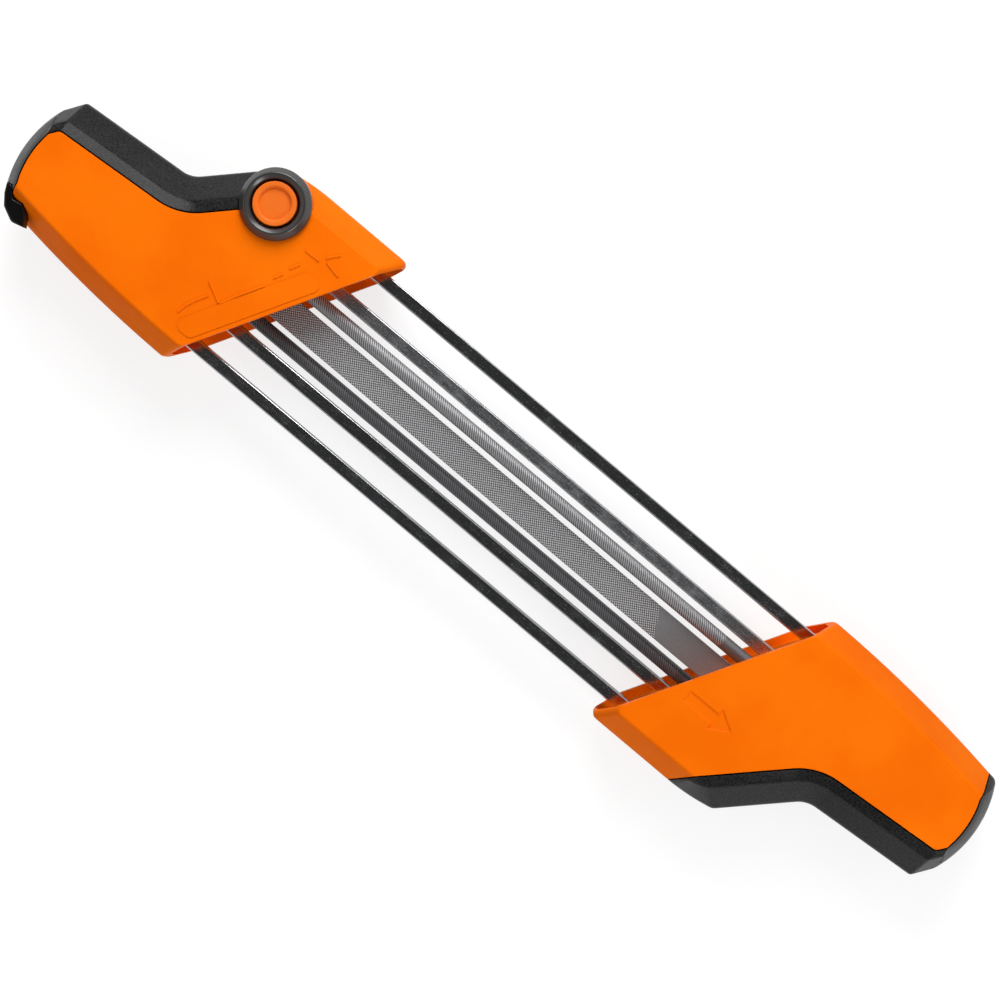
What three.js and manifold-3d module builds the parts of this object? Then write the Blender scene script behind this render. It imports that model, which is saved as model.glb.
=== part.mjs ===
// Chainsaw file guide: two hollow plastic handles joined by four square bars, which hold two round
// files and one flat file between them. The left handle opens: its cover swings about the push button.
// Millimetres. +X runs along the files from the left handle to the right one, +Y across them, +Z up.
// The origin is under the middle of the tool, on the surface it lies on.

import * as THREE from 'three';
import { mergeVertices } from 'three/addons/utils/BufferGeometryUtils.js';
import Module from 'manifold-3d';

const wasm = await Module();
wasm.setup();

// Driving dimensions of a handle, seen from above, in the right handle's place.
// The left handle is the same handle turned half round.
const halfThickness = 16;
const mouthX = 92;
const filingAngle = 30;
const gripSideY = -37.8;
const plainSideY = 38.4;
const plainSideTopX = 112;
const plainSideRadius = 480;
const shoulderRun = 30.75;
const shoulderCurveRun = 17.75;
const shoulderRadius = 75;
const shoulderRise = 2.05;
const neckRun = 22.25;
const neckSlope = 0.0784;
const gripRun = 49.2;
const heelBack = 7.2;
const endCentreY = 11;
const endRadius = 41;
const heelTopY = -3.7;
const endCornerY = 32.5;

// Roundings of that outline at its widest level.
const mouthRound = 3;
const shoulderRound = 4;
const neckRound = 10;
const heelRound = 1.5;
const endCornerRound = 2.5;

// How far the flat panel lies inside the outline, on each kind of side.
const plainInset = 7.4;
const gripInset = 13.4;
const neckInset = 12.3;
const endInset = 7.1;
const panelMouthRound = 2;
const panelHeelBack = 2.2;
const panelHeelRise = 3.2;
const panelCornerRound = 2.4;
const panelCornerY = 25.6;

// Where the slopes of the sides break: a height above the middle plane, and a drop below the panel.
const kneeHeight = 4;
const gripBreakDrop = 2;
const gripBreakShare = 0.68;
const endCurveShare = 1.5;

// Walls and clearances.
const wall = 2.6;
const roof = 2.5;
const gap = 0.3;
const slit = 0.5;
const skirtWall = 1.6;
const overrun = 3;
const bulkheadDepth = 3;
const bulkheadWall = 2.8;

// Square bars and files.
const barWidth = 4.5;
const barRound = 0.8;
const outerBarY = 28.5;
const innerBarY = 15.85;
const barInHandle = 21;
const roundFileRadius = 2.4;
const roundFileY = 9.2;
const roundFileRise = 3.7;
const flatFileWidth = 9.8;
const flatFileThick = 4;
const fileInHandle = 14;

// Carrier blocks that hold the bars, and the cross pins.
const carrierDepth = 6.3;
const carrierLength = 15.7;
const carrierHalfWidth = 36;
const pinRadius = 1;
const pinHalfLength = 6;
const pinDepth = 14;

// Screws: one pan head, one shank and one boss size for the whole tool.
const screwHeadRadius = 2.6;
const screwHeadHeight = 1.8;
const screwShankRadius = 1.4;
const bossRadius = 4.5;
const bossCap = 2.5;
const carrierScrewY = 22.2;
const carrierScrewDepth = 4;
const carrierScrewLength = 11;
const shellScrewDepth = 6;
const shellScrewLength = 16;

// The left handle's cover, its pivot and its push button.
const coverParting = 7;
const pivotBack = 7.45;
const pivotAcross = 13;
const turretRadius = 12;
const turretBottomWall = 2.5;
const notchAlong = 6.7;
const sleeveRadius = 10.2;
const sleeveBore = 8.9;
const sleeveWebDepth = 18;
const sleeveWebThick = 2;
const seatBossRadius = 8.6;
const pivotScrewLength = 6;
const ringHeight = 4;
const ringBore = 8;
const ringNeckRadius = 8.6;
const ringNeckDepth = 3;
const ringRidgeRadius = 9;
const ringEdgeHeight = 0.9;
const ringLipDrop = 1.8;
const buttonRadius = 7.25;
const buttonRise = 3.3;
const buttonFlange = 2.3;
const buttonEdge = 0.45;
const buttonDishRadius = 5.5;
const buttonDishFloorRadius = 4.6;
const buttonDishDepth = 0.4;
const buttonRoof = 3;
const springRadius = 5;
const springWire = 0.5;
const springTurns = 7;
const springStepsPerTurn = 8;
const springSides = 5;
const pocketRadius = 6.2;

// The finger tab over the end corner of the cover.
const tabLength = 14.2;
const tabDepth = 9.6;
const tabPastEnd = 1.3;
const tabPastSide = 3.1;
const tabRound = 2.5;
const tabDrop = 3.5;
const tabWall = 1.6;

// Far corners for cutting shapes, well outside the handle.
const farX = 240;
const farY = 60;

const drumSides = 32;
const holeSides = 14;

const orange = { color: 0xff7300, roughness: 0.42, metalness: 0 };
const black = { color: 0x303032, roughness: 0.6, metalness: 0 };
const grey = { color: 0x77797c, roughness: 0.55, metalness: 0 };
const plated = { color: 0xb9bcc0, roughness: 0.18, metalness: 1 };
const fileSteel = { color: 0x75777a, roughness: 0.45, metalness: 0.9 };
const screwSteel = { color: 0x8b8d90, roughness: 0.35, metalness: 1 };

// Turning three.js geometry into solids that can be cut, and back.

function solid(geometry) {
  const bare = geometry.clone();
  bare.deleteAttribute('normal');
  bare.deleteAttribute('uv');
  const merged = mergeVertices(bare);
  return new wasm.Manifold(new wasm.Mesh({
    numProp: 3,
    vertProperties: new Float32Array(merged.attributes.position.array),
    triVerts: new Uint32Array(merged.index.array),
  }));
}

function geometryOf(body) {
  const mesh = body.getMesh();
  const geometry = new THREE.BufferGeometry();
  geometry.setAttribute('position', new THREE.BufferAttribute(mesh.vertProperties, 3));
  geometry.setIndex(new THREE.BufferAttribute(mesh.triVerts, 1));
  geometry.computeVertexNormals();
  return geometry;
}

function joined(bodies) {
  return bodies.reduce((whole, body) => whole.add(body));
}

// Plain bodies: a prism over an outline, a drum on a vertical axis, a block between two corners and
// a turned body from a half section.

function prism(points, low, high) {
  const shape = new THREE.Shape(points.map(([x, y]) => new THREE.Vector2(x, y)));
  const geometry = new THREE.ExtrudeGeometry(shape, { depth: high - low, bevelEnabled: false });
  geometry.translate(0, 0, low);
  return solid(geometry);
}

function drum(x, y, radius, low, high, sides = drumSides) {
  const geometry = new THREE.CylinderGeometry(radius, radius, high - low, sides);
  geometry.rotateX(Math.PI / 2);
  geometry.translate(x, y, (low + high) / 2);
  return solid(geometry);
}

function block(low, high) {
  const size = high.map((value, axis) => value - low[axis]);
  const geometry = new THREE.BoxGeometry(...size);
  geometry.translate(...high.map((value, axis) => (value + low[axis]) / 2));
  return solid(geometry);
}

function turned(section, x, y, sides = drumSides) {
  const profile = section.map(([radius, height]) => new THREE.Vector2(radius, height));
  const geometry = new THREE.LatheGeometry(profile, sides);
  geometry.rotateX(Math.PI / 2);
  geometry.translate(x, y, 0);
  return geometry;
}

// Outline work. An outline is a list of corners, each with its own rounding, and both outlines of a
// handle have the same number of points, so that one can be drawn over into the other.

const mouthSlant = Math.tan(THREE.MathUtils.degToRad(filingAngle));
const shoulderX = mouthX + shoulderRun;
const shoulderStartX = shoulderX - shoulderCurveRun;
const neckX = shoulderX + neckRun;
const neckY = gripSideY + shoulderRise + neckRun;
const endX = neckX + gripRun;
const heelX = endX - heelBack;
const endCentreX = endX - endRadius;
const pivotX = shoulderX - pivotBack;
const pivotY = gripSideY + pivotAcross;

function mouthLineX(y) {
  return mouthX + y * mouthSlant;
}

function between(from, to, share) {
  return [from[0] + (to[0] - from[0]) * share, from[1] + (to[1] - from[1]) * share];
}

function rounded(corners) {
  const points = [];
  corners.forEach(({ at, round = 0, steps = 0 }, index) => {
    if (steps === 0) {
      points.push(at);
      return;
    }
    const corner = new THREE.Vector2(...at);
    const before = new THREE.Vector2(...corners.at(index - 1).at).sub(corner).normalize();
    const next = corners[(index + 1) % corners.length];
    const after = new THREE.Vector2(...next.at).sub(corner).normalize();
    const half = Math.acos(THREE.MathUtils.clamp(before.dot(after), -1, 1)) / 2;
    const reach = round / Math.tan(half);
    const middle = before.clone().add(after).normalize().multiplyScalar(round / Math.sin(half)).add(corner);
    const start = corner.clone().addScaledVector(before, reach).sub(middle);
    const end = corner.clone().addScaledVector(after, reach).sub(middle);
    const sweep = start.angleTo(end) * Math.sign(start.cross(end));
    for (let step = 0; step <= steps; step += 1) {
      const spoke = start.clone().rotateAround(new THREE.Vector2(), sweep * step / steps);
      points.push([middle.x + spoke.x, middle.y + spoke.y]);
    }
  });
  return points;
}

function insetRing(points, distance) {
  return points.map((point, index) => {
    const last = points.at(index - 1);
    const next = points[(index + 1) % points.length];
    const into = new THREE.Vector2(point[0] - last[0], point[1] - last[1]).normalize();
    const out = new THREE.Vector2(next[0] - point[0], next[1] - point[1]).normalize();
    const left = new THREE.Vector2(-into.y - out.y, into.x + out.x);
    const scale = distance / (1 + into.dot(out));
    return [point[0] + left.x * scale, point[1] + left.y * scale];
  });
}

function crossing(pointA, slopeA, pointB, slopeB) {
  const x = (pointB[1] - pointA[1] + slopeA * pointA[0] - slopeB * pointB[0]) / (slopeA - slopeB);
  return [x, pointA[1] + slopeA * (x - pointA[0])];
}

// The two outlines of a handle: the waist, at its middle plane, and the rim of its flat panel.

const shoulderSteps = 4;
const endSteps = 7;
const plainSteps = 5;
const cornerSteps = 3;
const neckSteps = 6;
const ringSteps = 4;
const lipSteps = 2;

function plainSide(x, inset) {
  return [x, plainSideY - inset - (x - plainSideTopX) ** 2 / (2 * plainSideRadius)];
}

function endArc(radius, fromY, toY, steps) {
  const from = Math.asin((fromY - endCentreY) / radius);
  const to = Math.asin((toY - endCentreY) / radius);
  const points = [];
  for (let step = 1; step < steps; step += 1) {
    const angle = from + (to - from) * step / steps;
    points.push({ at: [endCentreX + radius * Math.cos(angle), endCentreY + radius * Math.sin(angle)] });
  }
  return points;
}

function plainArc(fromX, toX, inset, steps) {
  const points = [];
  for (let step = 1; step < steps; step += 1) {
    points.push({ at: plainSide(fromX + (toX - fromX) * step / steps, inset) });
  }
  return points;
}

function onEndArc(radius, y) {
  return [endCentreX + Math.sqrt(radius ** 2 - (y - endCentreY) ** 2), y];
}

const shoulderPoint = [shoulderX, gripSideY + shoulderRise];
const heelPoint = [heelX, neckY + (heelX - neckX) * neckSlope];
const mouthHighInset = plainSideY - plainSide(mouthLineX(plainSideY), 0)[1];

function waistOutline() {
  const shoulder = [];
  for (let step = 1; step < shoulderSteps; step += 1) {
    const along = (shoulderX - shoulderStartX) * step / shoulderSteps;
    shoulder.push({ at: [shoulderStartX + along, gripSideY + along ** 2 / (2 * shoulderRadius)] });
  }
  const endCorner = onEndArc(endRadius, endCornerY);
  const mouthHigh = plainSideY - mouthHighInset;
  return rounded([
    { at: [mouthLineX(gripSideY), gripSideY], round: mouthRound, steps: cornerSteps },
    { at: [shoulderStartX, gripSideY] },
    ...shoulder,
    { at: shoulderPoint, round: shoulderRound, steps: shoulderSteps },
    { at: [neckX, neckY], round: neckRound, steps: neckSteps },
    { at: heelPoint, round: heelRound, steps: cornerSteps },
    { at: onEndArc(endRadius, heelTopY) },
    ...endArc(endRadius, heelTopY, endCornerY, endSteps),
    { at: endCorner, round: endCornerRound, steps: cornerSteps },
    ...plainArc(endCorner[0], mouthLineX(mouthHigh), 0, plainSteps),
    { at: [mouthLineX(mouthHigh), mouthHigh], round: mouthRound, steps: cornerSteps },
  ]);
}

// Straight lines of the panel's rim: 45 degrees from shoulder to neck, then the neck's own slope.
const rimShoulderStep = gripInset * Math.SQRT1_2;
const rimShoulderLine = [shoulderPoint[0] - rimShoulderStep, shoulderPoint[1] + rimShoulderStep];
const rimNeckLine = [neckX, neckY + neckInset * Math.hypot(1, neckSlope)];
const rimNeck = crossing(rimShoulderLine, 1, rimNeckLine, neckSlope);
const rimFoldY = gripSideY + plainInset;
const rimFold = [rimShoulderLine[0] + rimFoldY - rimShoulderLine[1], rimFoldY];
const panelEndRadius = endRadius - endInset;
const rimHeelOnLine = rimNeckLine[1] + (heelX - panelHeelBack - neckX) * neckSlope;
const rimHeel = [heelX - panelHeelBack, rimHeelOnLine];
const rimHeelTop = onEndArc(panelEndRadius, rimHeelOnLine + panelHeelRise);
const rimEndCorner = onEndArc(panelEndRadius, panelCornerY);

function rimOutline() {
  const footStart = rimShoulderLine.map((value) => value - shoulderRound / 2 * Math.SQRT1_2);
  const shoulder = [];
  for (let step = 1; step < shoulderSteps; step += 1) {
    shoulder.push({ at: between(rimFold, footStart, step / shoulderSteps) });
  }
  const foot = [];
  for (let step = 0; step <= shoulderSteps; step += 1) {
    const along = shoulderRound * (step / shoulderSteps - 1 / 2);
    foot.push({ at: rimShoulderLine.map((value) => value + along * Math.SQRT1_2) });
  }
  const mouthHigh = plainSide(mouthLineX(plainSideY - plainInset), plainInset)[1];
  return rounded([
    { at: [mouthLineX(rimFoldY), rimFoldY], round: panelMouthRound, steps: cornerSteps },
    { at: rimFold },
    ...shoulder,
    ...foot,
    { at: rimNeck, round: neckRound + neckInset, steps: neckSteps },
    { at: rimHeel, round: panelCornerRound, steps: cornerSteps },
    { at: rimHeelTop },
    ...endArc(panelEndRadius, rimHeelTop[1], panelCornerY, endSteps),
    { at: rimEndCorner, round: panelCornerRound, steps: cornerSteps },
    ...plainArc(rimEndCorner[0], mouthLineX(mouthHigh), plainInset, plainSteps),
    { at: [mouthLineX(mouthHigh), mouthHigh], round: panelMouthRound, steps: cornerSteps },
  ]);
}

const waist = waistOutline();
const rim = rimOutline();

// How far a point of the waist has moved to the rim at a height, for each kind of side.

const gripBreakHeight = halfThickness - gripBreakDrop;
const middleHeight = (kneeHeight + gripBreakHeight) / 2;

function plainShare(height) {
  return (height - kneeHeight) / (halfThickness - kneeHeight);
}

function gripShare(height) {
  if (height > gripBreakHeight) {
    const upper = (height - gripBreakHeight) / (halfThickness - gripBreakHeight);
    return gripBreakShare + (1 - gripBreakShare) * upper;
  }
  return gripBreakShare * (height - kneeHeight) / (gripBreakHeight - kneeHeight);
}

function endShare(height) {
  return plainShare(height) ** endCurveShare;
}

const gripFirst = cornerSteps + 2;
const endFirst = gripFirst + 2 * shoulderSteps + neckSteps + cornerSteps + 2;
const endCornerFirst = endFirst + endSteps;

function sideShare(index, height) {
  if (index < gripFirst || index > endCornerFirst + cornerSteps) {
    return plainShare(height);
  }
  if (index < endFirst) {
    return gripShare(height);
  }
  const turn = Math.max(index - endCornerFirst, 0) / cornerSteps;
  return THREE.MathUtils.lerp(endShare(height), plainShare(height), turn);
}

function ringAt(height) {
  return waist.map((point, index) => between(point, rim[index], sideShare(index, Math.abs(height))));
}

// A lofted body through outlines with the same number of points, one for each height. Its flat ends
// fan out from the heart, a place inside the handle that sees the whole outline.

const heartShare = 0.3;
const heart = between(rimNeck, [shoulderX, plainSideY], heartShare);

function loft(heights, ringOf) {
  const rings = heights.map((height) => ringOf(height));
  const count = rings[0].length;
  const positions = rings.flatMap((ring, level) => ring.flatMap(([x, y]) => [x, y, heights[level]]));
  const triangles = [];
  for (let level = 0; level + 1 < rings.length; level += 1) {
    for (let index = 0; index < count; index += 1) {
      const low = level * count + index;
      const lowNext = level * count + (index + 1) % count;
      triangles.push(low, lowNext, lowNext + count, low, lowNext + count, low + count);
    }
  }
  const top = (rings.length - 1) * count;
  const underside = positions.length / 3;
  positions.push(...heart, heights[0], ...heart, heights.at(-1));
  for (let index = 0; index < count; index += 1) {
    const next = (index + 1) % count;
    triangles.push(underside, next, index, underside + 1, top + index, top + next);
  }
  const geometry = new THREE.BufferGeometry();
  geometry.setAttribute('position', new THREE.Float32BufferAttribute(positions, 3));
  geometry.setIndex(triangles);
  return solid(geometry);
}

function mirrored(heights) {
  return [...heights.map((height) => -height).reverse(), ...heights];
}

const outerHeights = mirrored([kneeHeight, middleHeight, gripBreakHeight, halfThickness]);
const cavityTop = halfThickness - roof;
const innerHeights = mirrored([kneeHeight, middleHeight, cavityTop]);

const handleBody = loft(outerHeights, ringAt);
const cavity = loft(innerHeights, (height) => insetRing(ringAt(height), wall));
const carrierHeights = mirrored([kneeHeight, middleHeight, cavityTop - gap]);
const carrierRoom = loft(carrierHeights, (height) => insetRing(ringAt(height), wall + gap));

// A slab that follows the slanted mouth, from one depth inside it to another.

function mouthSlab(fromDepth, toDepth, halfWidth, low, high) {
  const edge = (depth, y) => [mouthLineX(y) + depth, y];
  return prism([
    edge(fromDepth, -halfWidth), edge(toDepth, -halfWidth),
    edge(toDepth, halfWidth), edge(fromDepth, halfWidth),
  ], low, high);
}

const mouthPocket = cavity.translate([-bulkheadDepth - overrun, 0, 0])
  .intersect(mouthSlab(-farY, bulkheadDepth, farY, -halfThickness, halfThickness));
const bulkheadBack = bulkheadDepth + bulkheadWall;
const chamber = cavity.intersect(mouthSlab(bulkheadBack, farX, farY, -halfThickness, halfThickness));

// The plan of the orange part: inside the rim on the grip's side and at the end, and as far as the
// handle goes on the plain sides. Its walls against the grip are the skirt.

function orangePlan(inset) {
  const neckToEnd = rim.slice(gripFirst + 2 * shoulderSteps, endCornerFirst + 1);
  const outline = [
    [rimFold[0] - farY, rimFold[1] - farY], ...neckToEnd, [neckToEnd.at(-1)[0], farY],
    [0, farY], [0, rimFold[1] - farY],
  ];
  return insetRing(outline, inset);
}

function orangePrism(inset) {
  return prism(orangePlan(inset), -halfThickness - overrun, halfThickness + overrun);
}

const orangeRegion = orangePrism(slit / 2);
const orangeHollow = mouthPocket.add(chamber.intersect(orangePrism(slit / 2 + skirtWall)));
const orangeHandle = handleBody.intersect(orangeRegion).subtract(orangeHollow);
const gripShell = handleBody.subtract(orangePrism(-slit / 2)).subtract(cavity);

function heightSlice(body, low, high) {
  return body.intersect(block([-farX, -farX, low], [farX, farX, high]));
}

// Holes for the bars and files. The front file lies low and the rear one high, so that each meets
// the cutters of its own side, and a handle's side is 1 on the right and -1 on the left.

const barPlaces = [-outerBarY, -innerBarY, innerBarY, outerBarY];

function barHoles() {
  const half = barWidth / 2 + gap;
  return joined(barPlaces.map((y) => block([0, y - half, -half], [farX, y + half, half])));
}

function fileHoles(side, length) {
  const lift = side > 0 ? 0 : halfThickness;
  const round = (y, height) => {
    const radius = roundFileRadius + gap;
    const end = mouthLineX(y) + length;
    const bore = new THREE.CylinderGeometry(radius, radius, end, holeSides);
    bore.rotateZ(Math.PI / 2);
    bore.translate(end / 2, y, height);
    const tube = solid(bore);
    return lift > 0 ? tube.add(block([0, y - radius, height], [end, y + radius, height + lift])) : tube;
  };
  const halfWidth = flatFileWidth / 2 + gap;
  const halfThick = flatFileThick / 2 + gap;
  const flatEnd = mouthX + length;
  const slot = block([0, -halfWidth, -halfThick], [flatEnd, halfWidth, halfThick + lift]);
  return joined([round(side * roundFileY, roundFileRise), round(-side * roundFileY, -roundFileRise), slot]);
}

// Screws, seen from the underside: a head in a deep round recess, and its shank going up.

function screwBody(x, y, seat, top) {
  const head = drum(x, y, screwHeadRadius, seat - screwHeadHeight, seat, holeSides);
  return head.add(drum(x, y, screwShankRadius, seat - screwHeadHeight / 2, top, holeSides));
}

function screwRoom(x, y, seat, top) {
  const recess = drum(x, y, screwHeadRadius + gap, -halfThickness - overrun, seat, holeSides);
  return recess.add(drum(x, y, screwShankRadius + gap, seat - overrun, top + gap, holeSides));
}

const carrierScrewPlaces = [-carrierScrewY, carrierScrewY].map((y) => [mouthLineX(y) + pinDepth, y]);
const carrierScrewSeat = -halfThickness + carrierScrewDepth;
const carrierScrewTop = carrierScrewSeat + carrierScrewLength;
const carrierBossTop = carrierScrewSeat + bossCap;

function carrierScrews() {
  return carrierScrewPlaces.map(([x, y]) => screwBody(x, y, carrierScrewSeat, carrierScrewTop));
}

function carrierScrewRooms() {
  return joined(carrierScrewPlaces.map(([x, y]) => screwRoom(x, y, carrierScrewSeat, carrierScrewTop)));
}

function carrierBosses(growth, top) {
  const low = -cavityTop - roof / 2;
  return joined(carrierScrewPlaces.map(([x, y]) => drum(x, y, bossRadius + growth, low, top)));
}

// The carrier block inside a handle: square holes for the bars, cradles or sockets for the files and
// a cross hole through each bar.

function pins(radius, halfLength) {
  const pinAt = (y) => drum(mouthLineX(y) + pinDepth, y, radius, -halfLength, halfLength, holeSides);
  return barPlaces.map(pinAt);
}

function carrier(side, top) {
  const back = carrierDepth + carrierLength;
  return mouthSlab(carrierDepth, back, carrierHalfWidth, -halfThickness, top)
    .intersect(carrierRoom)
    .subtract(barHoles())
    .subtract(fileHoles(side, fileInHandle + gap))
    .subtract(carrierBosses(gap, carrierBossTop + gap))
    .subtract(carrierScrewRooms())
    .subtract(joined(pins(pinRadius + gap, pinHalfLength + gap)));
}

// Right handle: two shells screwed together, with the grip between them. The screws stand at shares of
// the length behind the shoulder and of the width above the neck.

const shellScrewSeat = -halfThickness + shellScrewDepth;
const shellScrewTop = shellScrewSeat + shellScrewLength;
const shellScrewShares = [[0.19, 0.7], [0.24, 0.38], [0.75, 0.53]];
const shellScrewPlaces = shellScrewShares.map(([along, across]) => [
  shoulderX + (endX - shoulderX) * along,
  neckY + (plainSideY - neckY) * across,
]);

function shellScrewBosses(low, high) {
  return joined(shellScrewPlaces.map(([x, y]) => drum(x, y, bossRadius, low, high)));
}

function shellScrewRooms() {
  return joined(shellScrewPlaces.map(([x, y]) => screwRoom(x, y, shellScrewSeat, shellScrewTop)));
}

function rightTopShell() {
  const posts = shellScrewBosses(gap / 2, cavityTop + roof / 2);
  return heightSlice(orangeHandle, gap / 2, halfThickness).add(posts)
    .subtract(shellScrewRooms())
    .subtract(barHoles())
    .subtract(fileHoles(1, fileInHandle + gap));
}

function rightBottomShell() {
  const posts = shellScrewBosses(-cavityTop - roof / 2, -gap / 2);
  return heightSlice(orangeHandle, -halfThickness, -gap / 2).add(posts)
    .add(carrierBosses(0, carrierBossTop))
    .subtract(shellScrewRooms())
    .subtract(carrierScrewRooms())
    .subtract(barHoles())
    .subtract(fileHoles(1, fileInHandle + gap));
}

function shellScrews() {
  return shellScrewPlaces.map(([x, y]) => screwBody(x, y, shellScrewSeat, shellScrewTop));
}

// Left handle: round turrets carry the pivot, and the corner behind them is left to the base.

const sleeveWebTop = halfThickness - sleeveWebDepth;
const pivotScrewSeat = sleeveWebTop - pivotScrewLength;
const ringNeckBottom = halfThickness - ringNeckDepth;
const tabTop = halfThickness - tabDrop;

function turret(radius, low, high) {
  return drum(pivotX, pivotY, radius, low, high);
}

function behindPivot(along) {
  const x = pivotX + along * Math.SQRT1_2;
  const y = pivotY + along * Math.SQRT1_2;
  return prism([
    [x - farY, y + farY], [x - 2 * farY, y], [x, y - 2 * farY], [x + farY, y - farY],
  ], -halfThickness - overrun, halfThickness + overrun);
}

// The tab's corners are shares of its length along the end and of its depth across it.

function tabCorner(along, across, round) {
  const [endX, endY] = onEndArc(endRadius, endCornerY);
  const at = [endX + tabPastEnd - tabLength * (1 - along), endY + tabPastSide - tabDepth * (1 - across)];
  return { at, round, steps: round > 0 ? cornerSteps : 0 };
}

const tabOutline = rounded([
  tabCorner(1, 0.06, 0), tabCorner(0.75, 0.7, tabRound), tabCorner(0.25, 1, tabRound),
  tabCorner(0, 0.9, 0), tabCorner(0.31, 0.27, tabRound), tabCorner(0.7, 0.41, tabRound / 2),
  tabCorner(0.87, 0, 0),
]);

function tabPrism(growth, low, high) {
  return prism(insetRing(tabOutline, -growth), low, high);
}

// The hollow of an orange shell that also takes in a corner outside the orange plan.

function hollowWith(cornerRoom) {
  return orangeHollow.add(chamber.intersect(cornerRoom).subtract(orangeRegion));
}

function leftBase() {
  const region = orangeRegion.add(behindPivot(notchAlong));
  const hollow = hollowWith(behindPivot(notchAlong - skirtWall));
  return heightSlice(handleBody.intersect(region).subtract(hollow), -halfThickness, coverParting)
    .add(turret(turretRadius, -halfThickness, coverParting))
    .subtract(turret(sleeveRadius + gap, -halfThickness + turretBottomWall, halfThickness))
    .add(turret(seatBossRadius, -halfThickness + turretBottomWall / 2, sleeveWebTop - sleeveWebThick - gap))
    .add(carrierBosses(0, carrierBossTop))
    .subtract(screwRoom(pivotX, pivotY, pivotScrewSeat, sleeveWebTop))
    .subtract(carrierScrewRooms())
    .subtract(barHoles())
    .subtract(fileHoles(-1, fileInHandle + gap));
}

function leftCover() {
  const besidePivot = block([0, -farY, -halfThickness], [pivotX, pivotY, halfThickness]);
  const region = orangeRegion.add(besidePivot);
  const hollow = hollowWith(besidePivot).subtract(tabPrism(gap + tabWall, 0, halfThickness));
  return heightSlice(handleBody.intersect(region).subtract(hollow), coverParting + gap, halfThickness)
    .add(turret(turretRadius, coverParting + gap, halfThickness))
    .subtract(turret(sleeveRadius + gap, 0, halfThickness + overrun))
    .subtract(tabPrism(gap, 0, halfThickness + overrun));
}

function leftGrip() {
  return gripShell.subtract(behindPivot(notchAlong + gap))
    .subtract(turret(turretRadius + 2 * gap, -halfThickness - overrun, halfThickness + overrun))
    .subtract(tabPrism(gap, coverParting, halfThickness));
}

function coverTab() {
  return tabPrism(0, coverParting + gap, tabTop);
}

// A quarter of an ellipse in the section of a turned body, between its widest and its highest point.

function bulge(radius, reach, top, drop, steps) {
  const points = [];
  for (let step = 0; step <= steps; step += 1) {
    const angle = Math.PI / 2 * step / steps;
    points.push([radius + reach * Math.cos(angle), top - drop * (1 - Math.sin(angle))]);
  }
  return points;
}

function pivotRing() {
  const top = halfThickness + ringHeight;
  const base = halfThickness + gap;
  const outerDrop = top - base - ringEdgeHeight;
  const outside = bulge(ringRidgeRadius, turretRadius - ringRidgeRadius, top, outerDrop, ringSteps);
  const inside = bulge(ringRidgeRadius, ringBore - ringRidgeRadius, top, ringLipDrop, lipSteps);
  return turned([
    [ringBore, ringNeckBottom], [ringNeckRadius, ringNeckBottom],
    [ringNeckRadius, base], [turretRadius, base],
    ...outside, ...inside.reverse().slice(1), [ringBore, ringNeckBottom],
  ], pivotX, pivotY);
}

function pivotSleeve() {
  const bottom = -halfThickness + turretBottomWall + gap;
  const webBottom = sleeveWebTop - sleeveWebThick;
  const hole = screwShankRadius + gap;
  return turned([
    [hole, webBottom], [sleeveBore, webBottom], [sleeveBore, bottom], [sleeveRadius, bottom],
    [sleeveRadius, halfThickness], [sleeveBore, halfThickness], [sleeveBore, sleeveWebTop],
    [hole, sleeveWebTop], [hole, webBottom],
  ], pivotX, pivotY);
}

const buttonTop = halfThickness + buttonRise;
const flangeTop = ringNeckBottom - gap;
const pocketTop = buttonTop - buttonRoof;

function releaseButton() {
  return turned([
    [0, buttonTop - buttonDishDepth], [0, pocketTop], [pocketRadius, pocketTop],
    [pocketRadius, flangeTop - buttonFlange], [ringNeckRadius, flangeTop - buttonFlange],
    [ringNeckRadius, flangeTop], [buttonRadius, flangeTop], [buttonRadius, buttonTop - buttonEdge],
    [buttonRadius - buttonEdge, buttonTop], [buttonDishRadius, buttonTop],
    [buttonDishFloorRadius, buttonTop - buttonDishDepth], [0, buttonTop - buttonDishDepth],
  ], pivotX, pivotY);
}

// The return spring under the button, as one unbroken tube along its helix. Both ends run straight
// for one diameter of the wire.

function buttonSpring() {
  const low = sleeveWebTop + gap + springWire;
  const high = pocketTop - gap - springWire;
  const count = springTurns * springStepsPerTurn;
  const along = (angle, height) => new THREE.Vector3(
    pivotX + springRadius * Math.cos(angle), pivotY + springRadius * Math.sin(angle), height,
  );
  const points = [];
  for (let step = 0; step <= count; step += 1) {
    points.push(along(2 * Math.PI * step / springStepsPerTurn, low + (high - low) * step / count));
  }
  const first = new THREE.Vector3(0, -2 * springWire, 0).add(points[0]);
  const last = new THREE.Vector3(0, 2 * springWire, 0).add(points.at(-1));
  const centres = [first, ...points, last];
  console.log(`button_spring least gap to itself ${leastGap(centres).toFixed(2)} mm`);
  return tube(centres);
}

function leastGap(centres) {
  let least = Infinity;
  centres.forEach((point, index) => {
    centres.slice(index + springStepsPerTurn / 2).forEach((other) => {
      least = Math.min(least, point.distanceTo(other) - 2 * springWire);
    });
  });
  return least;
}

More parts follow.
